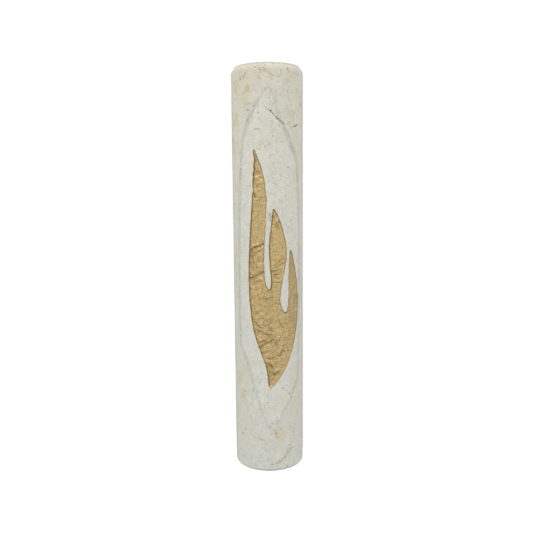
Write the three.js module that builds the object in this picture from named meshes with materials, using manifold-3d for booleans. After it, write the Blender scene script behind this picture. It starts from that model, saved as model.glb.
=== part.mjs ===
// A limestone mezuzah case, in millimetres, +Z up.
//
// The stone is a D-shaped bar that stands upright: its flat back faces +Y, its rounded front faces -Y.
// An emblem of three flames, in rough gilt, lies in a shallow pocket carved in the front. A chamber drilled
// up from the bottom end holds the rolled parchment in its clear sleeve, and a silicone stopper closes it.
// Two foam pads on the back, each under a peel-off liner, fix the case to a doorpost.
//
// The origin is on the plane where the case meets the doorpost, at the middle of the stone's height.
import * as THREE from "three";
import { mergeVertices, toCreasedNormals } from "three/addons/utils/BufferGeometryUtils.js";
import Module from "manifold-3d";

const wasm = await Module();
wasm.setup();

// ---------------------------------------------------------------------------- driving dimensions
const STONE_HEIGHT = 125;
const STONE_TOP_WIDTH = 22.8;
const STONE_BOTTOM_WIDTH = 21.5;
const STONE_DEPTH = 16; // flat back to the front of the half-ellipse
const TOP_CHAMFER = { height: 1.7, inset: 1.05 };
const BOTTOM_CHAMFER = { height: 0.6, inset: 0.5 };

const PAD = { width: 15, height: 30, thickness: 1, corner: 1.5, centreHeight: 38 };
const LINER = { thickness: 0.1, tab: 3 }; // the tab is the end that stands past the pad, to peel it by

const BORE_RADIUS = 5; // the scroll chamber
const BORE_TO_BACK = 7.6; // the chamber's axis, measured from the stone's flat back
const CHAMBER_HEADROOM = 3; // free space left above the sleeve

const STOPPER = {
  flangeRadius: 5.7,
  flangeThickness: 1.6,
  flangeChamfer: 0.3,
  plugRadius: 4.5,
  plugLength: 7,
  ribRadius: 4.8,
  ribHeight: 1,
  ribCount: 3,
  leadLength: 1, // the plug's end is tapered, to find the bore
  leadInset: 0.7,
  dishRadius: 4.2, // shallow hollow in the outer face, round the grip bar
  dishDepth: 1,
  gripLength: 6.4,
  gripWidth: 1.6,
};
const COUNTERBORE_RADIUS = 6; // seat of the stopper's flange, sunk flush in the bottom end

const SLEEVE = { outerRadius: 4.35, innerRadius: 4.1, length: 101 };
const PARCHMENT = { outerRadius: 3.85, innerRadius: 1.4, thickness: 0.2, turns: 6, length: 100 };

const POCKET_DEPTH = 1.15; // how far the flames' pocket is carved below the stone's face
const POCKET_CLEARANCE = 0.25; // all round the flames
const FLAME_RECESS = 0.35; // the gilt face lies this far below the stone's face
const FLAME_THICKNESS = 0.55;

// ------------------------------------------------------------------------------ derived positions
const STONE_BACK = -(PAD.thickness + LINER.thickness);
const STONE_TOP = STONE_HEIGHT / 2;
const STONE_BOTTOM = -STONE_HEIGHT / 2;
const BORE_Y = STONE_BACK - BORE_TO_BACK;
const FLANGE_TOP = STONE_BOTTOM + STOPPER.flangeThickness;
const PLUG_TOP = FLANGE_TOP + STOPPER.plugLength;
const CHAMBER_TOP = PLUG_TOP + SLEEVE.length + CHAMBER_HEADROOM;

const ELLIPSE_SEGMENTS = 24; // along each half of the stone's rounded front
const ROUND_SEGMENTS = 40;
const SPIRAL_SEGMENTS = 20; // in each turn of the parchment
const OUTLINE_DIVISIONS = 7; // straight steps in each curve of the flames' outline
const OVERCUT = 5; // how far a cutting solid runs past what it cuts
const CREASE_ANGLE = THREE.MathUtils.degToRad(30); // faces that meet at less than this are shaded as one

// -------------------------------------------------------------------------------- solid modelling
function toSolid(geometry) {
  const bare = geometry.clone();
  bare.deleteAttribute("normal");
  bare.deleteAttribute("uv");
  const merged = mergeVertices(bare, 1e-4);
  return new wasm.Manifold(
    new wasm.Mesh({
      numProp: 3,
      vertProperties: merged.attributes.position.array,
      triVerts: new Uint32Array(merged.index.array),
    }),
  );
}

function toGeometry(solid) {
  const mesh = solid.getMesh();
  const geometry = new THREE.BufferGeometry();
  geometry.setAttribute("position", new THREE.BufferAttribute(mesh.vertProperties, 3));
  geometry.setIndex(new THREE.BufferAttribute(mesh.triVerts, 1));
  return toCreasedNormals(geometry, CREASE_ANGLE);
}

// An upright cylinder between two heights.
function upright(radius, bottom, top) {
  return new THREE.CylinderGeometry(radius, radius, top - bottom, ROUND_SEGMENTS)
    .rotateX(Math.PI / 2)
    .translate(0, 0, (bottom + top) / 2);
}

// A shape drawn in X and Z, made a plate from y = back to y = back - thickness.
function plate(shape, back, thickness) {
  return new THREE.ExtrudeGeometry(shape, { depth: thickness, bevelEnabled: false })
    .rotateX(Math.PI / 2)
    .translate(0, back, 0);
}

// ------------------------------------------------------------------------------------ stone body
function stoneWidthAt(z) {
  return THREE.MathUtils.mapLinear(
    z,
    STONE_BOTTOM,
    STONE_TOP,
    STONE_BOTTOM_WIDTH,
    STONE_TOP_WIDTH,
  );
}

// A D-shaped bar that follows the stone's taper through the given rings, bottom to top. Each ring is
// a height and how far the rounded front is drawn in there; the back stays flat.
function stoneBar(rings) {
  const halfDisc = new THREE.Shape().absellipse(0, 0, 1, 1, Math.PI, 2 * Math.PI, false);
  const steps = rings.length - 1;
  const bar = new THREE.ExtrudeGeometry(halfDisc, {
    depth: steps,
    steps,
    curveSegments: ELLIPSE_SEGMENTS,
    bevelEnabled: false,
  });
  const position = bar.attributes.position;
  for (let i = 0; i < position.count; i++) {
    const { height, inset } = rings[Math.round(position.getZ(i))];
    const halfWidth = stoneWidthAt(height) / 2 - inset;
    const depth = STONE_DEPTH - inset;
    position.setXYZ(i, position.getX(i) * halfWidth, STONE_BACK + position.getY(i) * depth, height);
  }
  return toSolid(bar);
}

// The part of a solid that lies between two depths below the stone's rounded face.
function underFace(solid, shallow, deep) {
  const column = (inset) =>
    stoneBar([
      { height: STONE_BOTTOM - OVERCUT, inset },
      { height: STONE_TOP + OVERCUT, inset },
    ]);
  return solid.intersect(column(shallow)).subtract(column(deep));
}

// --------------------------------------------------------------------------- the flames' outline
// Three flames that rise from one pointed base, drawn in X and Z.
function flameShape() {
  const flames = new THREE.Shape();
  const tallTip = [-3.95, 98.9];
  flames.moveTo(...tallTip);
  // right side of the tall left flame, down to the first notch
  flames.bezierCurveTo(-2, 95.2, -0.5, 89.5, -0.5, 82.5);
  flames.bezierCurveTo(-0.55, 76, -1.3, 70, -1.27, 63.5);
  flames.bezierCurveTo(-1.25, 59.5, -0.7, 56.6, 0.12, 56.4);
  // middle flame, up to its tip and down to the second notch
  flames.bezierCurveTo(0.75, 56.3, 0.9, 58.2, 0.75, 60.5);
  flames.bezierCurveTo(0.5, 64, 0, 67.5, 0.3, 70.6);
  flames.bezierCurveTo(0.7, 74.5, 1.2, 77.5, 1.65, 81.1);
  flames.bezierCurveTo(3.4, 78.5, 5.2, 73.5, 5.45, 68);
  flames.bezierCurveTo(5.6, 62.5, 3.5, 58, 3.5, 53.5);
  flames.bezierCurveTo(3.5, 51, 4.3, 49.2, 5.15, 49.2);
  // short right flame
  flames.bezierCurveTo(5.95, 49.3, 6.15, 51.5, 6.17, 55);
  flames.bezierCurveTo(6.2, 60, 6.2, 64, 6.85, 68.4);
  flames.bezierCurveTo(7.9, 64.5, 8.95, 59, 8.95, 52.5);
  // right side of the base, its point, and the left side back up to the tall tip
  flames.bezierCurveTo(8.95, 44, 7.6, 32.5, 0.5, 25.8);
  flames.lineTo(-0.15, 27.2);
  flames.bezierCurveTo(-0.3, 31.5, -2.7, 36, -4.3, 42.4);
  flames.bezierCurveTo(-5.6, 47.5, -6, 54, -6, 61);
  flames.bezierCurveTo(-6, 72, -4.4, 84, ...tallTip);
  return flames;
}

// A prism through the front of the stone with the flames' outline, made wider all round by grow.
// The outline's heights are measured from the stone's bottom end.
function flamePrism(grow) {
  const prism = new THREE.ExtrudeGeometry(flameShape(), {
    depth: STONE_DEPTH,
    curveSegments: OUTLINE_DIVISIONS,
    bevelThickness: OVERCUT,
    bevelSize: 0,
    bevelOffset: grow,
    bevelSegments: 1,
  });
  return toSolid(prism.rotateX(Math.PI / 2).translate(0, STONE_BACK - 2 * OVERCUT, STONE_BOTTOM));
}

function stoneBody() {
  const bar = stoneBar([
    { height: STONE_BOTTOM, inset: BOTTOM_CHAMFER.inset },
    { height: STONE_BOTTOM + BOTTOM_CHAMFER.height, inset: 0 },
    { height: STONE_TOP - TOP_CHAMFER.height, inset: 0 },
    { height: STONE_TOP, inset: TOP_CHAMFER.inset },
  ]);
  const pocket = underFace(flamePrism(POCKET_CLEARANCE), -OVERCUT, POCKET_DEPTH);
  const chamber = upright(BORE_RADIUS, STONE_BOTTOM - OVERCUT, CHAMBER_TOP);
  const seat = upright(COUNTERBORE_RADIUS, STONE_BOTTOM - OVERCUT, FLANGE_TOP);
  const bored = toSolid(chamber).add(toSolid(seat)).translate([0, BORE_Y, 0]);
  return toGeometry(bar.subtract(pocket).subtract(bored));
}

function giltFlames() {
  const behind = FLAME_RECESS + FLAME_THICKNESS;
  return toGeometry(underFace(flamePrism(0), FLAME_RECESS, behind));
}

// -------------------------------------------------------------------------------- bottom stopper
// Flange below, ribbed plug above, lying on the chamber's axis with the flange's face at z = 0.
function stopper() {
  const { flangeRadius, flangeThickness, flangeChamfer } = STOPPER;
  const { plugRadius, plugLength, ribRadius, ribHeight, ribCount, leadLength, leadInset } = STOPPER;
  const end = flangeThickness + plugLength;
  const profile = [
    [0, 0],
    [flangeRadius - flangeChamfer, 0],
    [flangeRadius, flangeChamfer],
    [flangeRadius, flangeThickness],
    [plugRadius, flangeThickness],
  ];
  const pitch = (plugLength - leadLength) / (ribCount + 1);
  for (let rib = 1; rib <= ribCount; rib++) {
    const middle = flangeThickness + rib * pitch;
    profile.push([plugRadius, middle - ribHeight / 2]);
    profile.push([ribRadius, middle]);
    profile.push([plugRadius, middle + ribHeight / 2]);
  }
  profile.push([plugRadius, end - leadLength], [plugRadius - leadInset, end], [0, end]);
  const points = profile.map(([radius, height]) => new THREE.Vector2(radius, height));
  const turned = toSolid(new THREE.LatheGeometry(points, ROUND_SEGMENTS).rotateX(Math.PI / 2));

  const { dishRadius, dishDepth, gripLength, gripWidth } = STOPPER;
  const dish = toSolid(upright(dishRadius, -OVERCUT, dishDepth));
  const grip = new THREE.BoxGeometry(gripLength, gripWidth, 2 * OVERCUT);
  return toGeometry(turned.subtract(dish.subtract(toSolid(grip))));
}

// ------------------------------------------------------------------------------------- the scroll
function sleeveTube() {
  const ring = new THREE.Shape().absarc(0, 0, SLEEVE.outerRadius, 0, 2 * Math.PI, false);
  ring.holes.push(new THREE.Path().absarc(0, 0, SLEEVE.innerRadius, 0, 2 * Math.PI, true));
  return new THREE.ExtrudeGeometry(ring, {
    depth: SLEEVE.length,
    curveSegments: ROUND_SEGMENTS,
    bevelEnabled: false,
  });
}

// The sheet is wound from its inner edge to its outer edge as one flat spiral.
function rolledParchment() {
  const { outerRadius, innerRadius, thickness, turns, length } = PARCHMENT;
  const steps = turns * SPIRAL_SEGMENTS;
  const start = innerRadius + thickness / 2;
  const growth = (outerRadius - innerRadius - thickness) / steps;
  const side = (offset) =>
    Array.from({ length: steps + 1 }, (_, i) => {
      const angle = (2 * Math.PI * turns * i) / steps;
      const radius = start + growth * i + offset;
      return new THREE.Vector2(radius * Math.cos(angle), radius * Math.sin(angle));
    });
  const outline = [...side(thickness / 2), ...side(-thickness / 2).reverse()];
  return new THREE.ExtrudeGeometry(new THREE.Shape(outline), {
    depth: length,
    bevelEnabled: false,
  });
}

// ------------------------------------------------------------------------------- mounting pads
function roundedRectangle(width, bottom, top, corner) {
  const right = width / 2;
  const shape = new THREE.Shape();
  shape.absarc(right - corner, bottom + corner, corner, -Math.PI / 2, 0, false);
  shape.absarc(right - corner, top - corner, corner, 0, Math.PI / 2, false);
  shape.absarc(corner - right, top - corner, corner, Math.PI / 2, Math.PI, false);
  shape.absarc(corner - right, bottom + corner, corner, Math.PI, 1.5 * Math.PI, false);
  shape.closePath();
  return shape;
}

// A pad and its liner centred at z = 0, with the liner's tab above it.
function foamPad() {
  const half = PAD.height / 2;
  const outline = roundedRectangle(PAD.width, -half, half, PAD.corner);
  return plate(outline, -LINER.thickness, PAD.thickness);
}

function releaseLiner() {
  const half = PAD.height / 2;
  const outline = roundedRectangle(PAD.width, -half, half + LINER.tab, PAD.corner);
  return plate(outline, 0, LINER.thickness);
}

// ------------------------------------------------------------------------------------- materials
const limestone = new THREE.MeshStandardMaterial({ color: 0xd6d3c2, roughness: 0.62 });
const gilt = new THREE.MeshStandardMaterial({ color: 0xb9995c, roughness: 0.42, metalness: 0.85 });
const silicone = new THREE.MeshStandardMaterial({ color: 0xd9d6cd, roughness: 0.55 });
const parchment = new THREE.MeshStandardMaterial({ color: 0xe4d7b4, roughness: 0.7 });
const film = new THREE.MeshStandardMaterial({
  color: 0xe9eef0,
  roughness: 0.15,
  transparent: true,
  opacity: 0.3,
});
const foam = new THREE.MeshStandardMaterial({ color: 0xe8e8e4, roughness: 0.9 });
const linerPaper = new THREE.MeshStandardMaterial({ color: 0xd9b27c, roughness: 0.45 });

function piece(name, geometry, material, place = [0, 0, 0]) {
  const mesh = new THREE.Mesh(geometry, material);
  mesh.name = name;
  mesh.position.set(...place);
  return mesh;
}

// -------------------------------------------------------------------------------------- assembly
const mezuzahCase = new THREE.Group();
mezuzahCase.add(piece("stone_body", stoneBody(), limestone));
mezuzahCase.add(piece("gilded_flame_inlay", giltFlames(), gilt));
mezuzahCase.add(piece("bottom_stopper", stopper(), silicone, [0, BORE_Y, STONE_BOTTOM]));
mezuzahCase.add(piece("scroll_sleeve", sleeveTube(), film, [0, BORE_Y, PLUG_TOP]));
const parchmentBottom = PLUG_TOP + (SLEEVE.length - PARCHMENT.length) / 2;
mezuzahCase.add(
  piece("parchment_scroll", rolledParchment(), parchment, [0, BORE_Y, parchmentBottom]),
);
for (const [side, direction] of [
  ["upper", 1],
  ["lower", -1],
]) {
  const pad = piece(`${side}_adhesive_pad`, foamPad(), foam);
  const liner = piece(`${side}_release_liner`, releaseLiner(), linerPaper);
  for (const mesh of [pad, liner]) {
    mesh.position.z = direction * PAD.centreHeight;
    // half a turn about Y puts the lower liner's tab at its bottom end
    mesh.rotation.y = direction > 0 ? 0 : Math.PI;
    mezuzahCase.add(mesh);
  }
}

export default mezuzahCase;
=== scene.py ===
"""A limestone mezuzah case with a gilded emblem of three flames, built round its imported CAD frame.

Shapes are worked out in millimetres, in the frame's own axes: +Z is up, the rounded front faces
-Y and the flat back faces +Y. They become metres in make_piece().
"""

import math
import random

import bpy
import numpy as np
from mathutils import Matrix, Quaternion, Vector, kdtree, noise
from mathutils.geometry import delaunay_2d_cdt


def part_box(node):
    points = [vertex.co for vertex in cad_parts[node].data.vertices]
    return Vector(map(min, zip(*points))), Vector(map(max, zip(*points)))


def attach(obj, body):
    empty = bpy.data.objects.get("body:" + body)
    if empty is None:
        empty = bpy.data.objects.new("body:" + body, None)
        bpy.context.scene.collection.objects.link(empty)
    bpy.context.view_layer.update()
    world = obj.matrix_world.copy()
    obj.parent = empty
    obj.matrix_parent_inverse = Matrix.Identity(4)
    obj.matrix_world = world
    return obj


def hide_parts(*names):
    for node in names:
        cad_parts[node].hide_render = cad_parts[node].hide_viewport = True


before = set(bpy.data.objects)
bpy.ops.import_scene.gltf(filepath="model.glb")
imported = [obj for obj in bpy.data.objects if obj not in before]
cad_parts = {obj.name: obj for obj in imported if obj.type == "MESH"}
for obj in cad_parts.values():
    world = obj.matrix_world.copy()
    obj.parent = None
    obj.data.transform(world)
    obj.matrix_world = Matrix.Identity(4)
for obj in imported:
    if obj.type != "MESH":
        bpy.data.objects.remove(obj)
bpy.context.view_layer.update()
MM = 0.001


def cad_box(node):
    """(lowest corner, highest corner) of a CAD node, in millimetres."""
    return [np.array(corner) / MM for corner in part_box(node)]


# ------------------------------------------------------------------------------------ camera
CAMERA_TARGET = Vector((-0.598, -8.6, 0.346))
CAMERA_DISTANCE = 300
CAMERA_ELEVATION = 0.074  # radians above the horizon
CAMERA_ROLL = -0.008

camera = bpy.data.objects.new("camera", bpy.data.cameras.new("camera"))
camera.data.lens = 64.84
camera.data.sensor_width = 36
camera.data.clip_start = 0.01
toward = Vector((0, -math.cos(CAMERA_ELEVATION), math.sin(CAMERA_ELEVATION)))
camera.location = (CAMERA_TARGET + CAMERA_DISTANCE * toward) * MM
camera.rotation_mode = "QUATERNION"
roll = Quaternion((0, 0, 1), CAMERA_ROLL)
camera.rotation_quaternion = (-toward).to_track_quat("-Z", "Y") @ roll
bpy.context.scene.collection.objects.link(camera)
bpy.context.scene.camera = camera

# --------------------------------------------------------------------------- stone dimensions
STONE_LOW, STONE_HIGH = cad_box("stone_body")
BACK, TOP, BOTTOM = STONE_HIGH[1], STONE_HIGH[2], STONE_LOW[2]
DEPTH = BACK - STONE_LOW[1]
TOP_HALF_WIDTH, BOTTOM_HALF_WIDTH = 11.4, 10.75
TOP_CHAMFER = (1.7, 1.05)  # height, inset
BOTTOM_CHAMFER = (0.6, 0.5)
TOP_ARRIS, BOTTOM_ARRIS = 0.2, 0.12  # how round the two ends' edges are worn
ARC_RADIUS = 13.7  # turns the angle round the front into a length
HALF_ARC = ARC_RADIUS * math.pi / 2

BORE_AXIS = -8.7  # the chamber's axis, along Y
BORE_RADIUS, SEAT_RADIUS = 5.0, 6.0
SEAT_TOP, CHAMBER_TOP = -60.9, 50.1

POCKET_DEPTH = 1.15
POCKET_GAP = 0.17  # between the emblem's outline and the pocket's wall
POCKET_ARRIS = 0.14
GILT_RECESS = 0.35
GILT_BEHIND = 0.9
GILT_SPREAD = 0.16  # the gilding runs this far past the outline
GILT_CLIMB = 0.2  # how far the leaf climbs the pocket's wall
LEAF_LEAN = math.radians(28)  # the leaf's wrinkles rise to the right


# ----------------------------------------------------------------------------- small helpers
def wave(points, scale, seed=0, octaves=1):
    """Smooth noise, about -1 to 1, at each point; its features are about 1 / scale mm across."""
    shift = Vector((17.3, 5.1, 9.7)) * (seed + 1)
    return np.array(
        [noise.fractal(Vector(p) * scale + shift, 1.0, 2.0, octaves) for p in points]
    )


def smooth(value, low, high):
    """0 below low, 1 above high and an S curve between them."""
    t = np.clip((value - low) / (high - low), 0, 1)
    return t * t * (3 - 2 * t)


def line_distance(points, line):
    """How far each 2D point lies from a line of points, signed: positive on the line's left."""
    best = np.full(len(points), np.inf)
    sign = np.ones(len(points))
    for a, b in zip(line[:-1], line[1:]):
        a, along = np.array(a, float), np.array(b, float) - np.array(a, float)
        offset = points - a
        t = np.clip(offset @ along / (along @ along), 0, 1)
        distance = np.hypot(*(offset - t[:, None] * along).T)
        nearer = distance < best
        side = np.sign(along[0] * offset[:, 1] - along[1] * offset[:, 0])
        sign[nearer] = side[nearer]
        best = np.minimum(best, distance)
    return best * np.where(sign == 0, 1, sign)


def curve_through(points, step):
    """Points about step apart on a smooth curve through the given ones."""
    p = [np.array(q, float) for q in points]
    p = [2 * p[0] - p[1], *p, 2 * p[-1] - p[-2]]
    found = []
    for a, b, c, d in zip(p, p[1:], p[2:], p[3:]):
        count = max(1, round(float(np.hypot(*(c - b))) / step))
        for t in np.arange(count) / count:
            bend = 2 * b + (c - a) * t + (2 * a - 5 * b + 4 * c - d) * t * t
            found.append((bend + (3 * b - a - 3 * c + d) * t**3) / 2)
    return np.array([*found, p[-2]])


def inside(points, loops):
    """Which 2D points lie inside closed loops, where a loop in another is a hole."""
    result = np.zeros(len(points), bool)
    x, y = points[:, 0], points[:, 1]
    for loop in loops:
        for (x1, y1), (x2, y2) in zip(loop, np.roll(loop, -1, axis=0)):
            if y1 != y2:
                crosses = (y1 > y) != (y2 > y)
                result ^= crosses & (x < (x2 - x1) * (y - y1) / (y2 - y1) + x1)
    return result


def clear_of(points, others, gap):
    """The points that are at least gap away from all the others."""
    tree = kdtree.KDTree(len(others))
    for i, (x, y) in enumerate(others):
        tree.insert((x, y, 0), i)
    tree.balance()
    return np.array([p for p in points if tree.find((p[0], p[1], 0))[2] > gap])


def jittered_grid(low, high, step, seed):
    """2D points in a loose grid that fills a rectangle."""
    draw = random.Random(seed)
    xs = np.arange(low[0] + step / 2, high[0], step)
    ys = np.arange(low[1] + step / 2, high[1], step)
    shake = step * 0.28
    return np.array(
        [(x + draw.uniform(-shake, shake), y + draw.uniform(-shake, shake)) for y in ys for x in xs]
    )


def filling(loops, step, seed, gap, box=None):
    """Loose 2D points inside closed loops and gap away from them, from a grid over a box, which
    is the first loop's own unless given."""
    low, high = box or (loops[0].min(axis=0), loops[0].max(axis=0))
    dots = jittered_grid(low, high, step, seed)
    return clear_of(dots[inside(dots, loops)], np.concatenate(loops), gap)


def raise_to(values, key, amount):
    """Raises the values under a key to an amount, where they are lower."""
    values[key] = np.maximum(values[key], amount)


SEGMENTS = 96
TURN = 2 * math.pi * np.arange(SEGMENTS) / SEGMENTS


def circle(radius, z):
    """A ring of points round the chamber's axis; radius and z may be one for each point."""
    x, y = radius * np.cos(TURN), radius * np.sin(TURN) + BORE_AXIS
    return np.column_stack([x, y, np.broadcast_to(z, x.shape)])


class Skin:
    """A mesh in the making: points in millimetres, and faces."""

    def __init__(self):
        self.points, self.faces = [], []

    def add(self, points):
        """Adds points and returns their numbers."""
        first = len(self.points)
        self.points.extend(tuple(map(float, p)) for p in points)
        return list(range(first, len(self.points)))

    def strip(self, ring_a, ring_b, closed=True):
        """Quads between two rings of points. They face outwards when ring_a to ring_b runs up and
        the rings run anticlockwise seen from above."""
        count = len(ring_a)
        for i in range(count if closed else count - 1):
            j = (i + 1) % count
            self.faces.append((ring_a[i], ring_a[j], ring_b[j], ring_b[i]))

    def fill(self, flat, numbers, loops, flip=False):
        """Triangles inside closed loops. flat has every point in 2D and numbers its number in the
        skin; a loop is a list of places in flat. Faces look along +normal of the 2D plane."""
        edges = [(a, b) for loop in loops for a, b in zip(loop, loop[1:] + loop[:1])]
        made, _, faces, origin, _, _ = delaunay_2d_cdt(
            [Vector(p) for p in flat], edges, [], 0, 1e-7, True
        )
        made = np.array([tuple(p) for p in made])
        faces = np.array([f for f in faces if all(origin[i] for i in f)])
        keep = inside(made[faces].mean(axis=1), [np.array([flat[i] for i in l]) for l in loops])
        for face in faces[keep]:
            face = [numbers[origin[i][0]] for i in face]
            if len(set(face)) == 3:
                self.faces.append(tuple(face[::-1] if flip else face))


def make_piece(name, skin, body, node, material, crease=35, values=None):
    """A mesh object from a skin, in metres, that rides on a body and stands for a CAD node."""
    mesh = bpy.data.meshes.new(name)
    mesh.from_pydata([tuple(c * MM for c in p) for p in skin.points], [], skin.faces)
    mesh.validate()
    mesh.polygons.foreach_set("use_smooth", [True] * len(mesh.polygons))
    mesh.set_sharp_from_angle(angle=math.radians(crease))
    for key, numbers in (values or {}).items():
        attribute = mesh.attributes.new(key, "FLOAT", "POINT")
        attribute.data.foreach_set("value", np.asarray(numbers, np.float32))
    mesh.materials.append(material)
    piece = bpy.data.objects.new(name, mesh)
    bpy.context.scene.collection.objects.link(piece)
    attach(piece, body)
    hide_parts(node)
    return piece


# --------------------------------------------------------------------------------- materials
class Nodes:
    """The shader nodes of a material or of the world."""

    def __init__(self, owner):
        owner.use_nodes = True
        self.tree = owner.node_tree
        self.tree.nodes.clear()

    def put(self, socket, value):
        if isinstance(value, bpy.types.NodeSocket):
            self.tree.links.new(value, socket)
        elif isinstance(value, tuple) and len(value) == 3 and socket.type == "RGBA":
            socket.default_value = (*value, 1)
        else:
            socket.default_value = value

    def node(self, kind, settings=(), output=0, **inputs):
        made = self.tree.nodes.new("ShaderNode" + kind)
        for key, value in dict(settings).items():
            setattr(made, key, value)
        for key, value in inputs.items():
            self.put(made.inputs[int(key[1:]) if key[0] == "i" else key], value)
        return made.outputs[output] if made.outputs else made

    def sum(self, operation, a, b):
        return self.node("Math", {"operation": operation}, i0=a, i1=b)

    def times(self, a, b):
        return self.sum("MULTIPLY", a, b)


class Finish(Nodes):
    """A procedural material. Its textures are laid out in millimetres on the piece."""

    def __init__(self, name):
        self.material = bpy.data.materials.new(name)
        super().__init__(self.material)
        output = self.tree.nodes.new("ShaderNodeOutputMaterial")
        self.shader = self.tree.nodes.new("ShaderNodeBsdfPrincipled")
        self.tree.links.new(self.shader.outputs[0], output.inputs[0])
        self.where = self.node("TexCoord", (), "Object")
        self.mm = self.stretched((1, 1, 1))

    def set(self, **values):
        """Values of the shader's own sockets: base_color is "Base Color", and so on."""
        for key, value in values.items():
            name = {"ior": "IOR"}.get(key) or key.replace("_", " ").title()
            self.put(self.shader.inputs[name], value)

    def stretched(self, scale):
        return self.node("Mapping", i0=self.where, i3=tuple(s / MM for s in scale))

    def noise(self, scale, detail=3.0, rough=0.55, twist=0.0, at=None):
        shape = {"Scale": scale, "Detail": detail, "Roughness": rough, "Distortion": twist}
        return self.node("TexNoise", Vector=at or self.mm, **shape)

    def cells(self, scale, output="Distance", feature="F1", at=None):
        settings = {"feature": feature}
        return self.node("TexVoronoi", settings, output, Vector=at or self.mm, Scale=scale)

    def value(self, attribute):
        return self.node("Attribute", {"attribute_name": attribute}, "Fac")

    def step(self, value, low, high, start=0.0, end=1.0):
        """start below low, end above high, and an S curve between them."""
        settings = {"interpolation_type": "SMOOTHSTEP"}
        return self.node("MapRange", settings, i0=value, i1=low, i2=high, i3=start, i4=end)

    def start(self, amount, a, b):
        """Makes the base colour a mix of two."""
        self.base = self.node("Mix", {"data_type": "RGBA"}, 2, i0=amount, i6=a, i7=b)

    def lay(self, colour, amount, share=None, blend="MIX"):
        """Lays a colour over the base colour as far as amount says, or by a share of that."""
        amount = amount if share is None else self.times(amount, share)
        settings = {"data_type": "RGBA", "blend_type": blend}
        self.base = self.node("Mix", settings, 2, i0=amount, i6=self.base, i7=colour)

    def bump(self, *layers):
        """layers of (height, height in mm of a step from 0 to 1)."""
        normal = None
        for height, size in layers:
            extra = {"Normal": normal} if normal else {}
            normal = self.node("Bump", Height=height, Distance=size * MM, Strength=1.0, **extra)
        self.put(self.shader.inputs["Normal"], normal)


def limestone():
    f = Finish("limestone")
    height = f.node("SeparateXYZ", (), "Z", i0=f.where)
    # darker and greener towards the bottom: partly the stone's tone, partly painted shade for light
    # that falls off lower down
    f.start(f.step(height, -0.062, 0.055), (0.66, 0.675, 0.605), (0.72, 0.702, 0.602))
    f.lay((0.728, 0.738, 0.69), f.value("field"), 0.5)
    cloud = f.step(f.noise(0.11, 4, 0.6, 0.6), 0.36, 0.68)
    f.lay((0.65, 0.61, 0.485), cloud, 0.4)
    pale = f.step(f.noise(0.33, 4, 0.6), 0.5, 0.66)
    f.lay((0.78, 0.768, 0.69), pale, 0.4)
    mottle = f.step(f.noise(0.75, 5, 0.7, 0.5), 0.5, 0.62)
    f.lay((0.54, 0.53, 0.43), mottle, 0.26)
    f.lay((0.68, 0.628, 0.405), f.value("ochre"), 0.3)
    blotch = f.step(f.noise(1.9, 5, 0.72, 1.0), 0.47, 0.57)
    f.lay((0.61, 0.5, 0.225), blotch, f.value("ochre"))
    vein = f.times(f.value("vein"), f.step(f.noise(1.3, 5, 0.75), 0.36, 0.58, 0.3, 1.0))
    f.lay((0.4, 0.415, 0.365), vein)
    grain = f.noise(2.6, 5, 0.8)
    f.lay((0.86, 0.855, 0.84), f.step(grain, 0.36, 0.6, 0.9, 0.0), blend="MULTIPLY")
    # capillary lines: where a slow noise crosses its middle value, broken up by another
    stained = f.step(f.value("ochre"), 0.0, 0.5, 0.3, 0.85)
    for scale, wide, shown in ((0.21, 0.012, 0.5), (0.52, 0.022, 0.53)):
        crossing = f.sum("ABSOLUTE", f.sum("SUBTRACT", f.noise(scale, 4, 0.6, 1.2), 0.5), 0.0)
        line = f.times(f.step(crossing, wide * 0.3, wide, 1.0, 0.0), stained)
        line = f.times(line, f.step(f.noise(0.31, 3, 0.6), shown, shown + 0.06))
        f.lay((0.42, 0.31, 0.15), line)
    # specks: one in some of the cells, in three sizes
    frayed = f.node("TexNoise", (), "Color", Vector=f.mm, Scale=3.0)
    ragged = f.node("VectorMath", i0=f.mm, i1=frayed)
    specks = None
    for scale, radius, share, dark, tint in (
        (0.85, 0.2, 0.76, 0.85, (0.22, 0.2, 0.155)),
        (1.75, 0.28, 0.72, 0.8, (0.27, 0.25, 0.195)),
        (3.0, 0.36, 0.72, 0.75, (0.34, 0.3, 0.21)),
    ):
        chance = f.node("SeparateColor", (), 0, i0=f.cells(scale, "Color", at=ragged))
        dot = f.step(f.cells(scale, at=ragged), radius * 0.4, radius, dark, 0.0)
        speck = f.times(dot, f.step(chance, share, share + 0.12))
        f.lay(tint, speck)
        specks = specks or speck
    f.lay((0.395, 0.28, 0.11), f.value("rust"))
    f.lay((0.095, 0.09, 0.08), f.value("crack"))
    # painted shade: darker towards the long edges, along the ends and in the pocket, with a little
    # grime
    f.lay((0.74, 0.715, 0.705), f.value("grime_and_painted_shade"), blend="MULTIPLY")
    rough = f.step(grain, 0.3, 0.7, 0.7, 0.88)
    f.set(base_color=f.base, roughness=rough, ior=1.48)
    scratches = f.noise(1.0, 4, 0.6, at=f.stretched((7, 7, 0.6)))
    f.bump((f.noise(1.1, 5, 0.6), 0.08), (grain, 0.06), (scratches, 0.012), (specks, -0.09))
    return f.material


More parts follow.
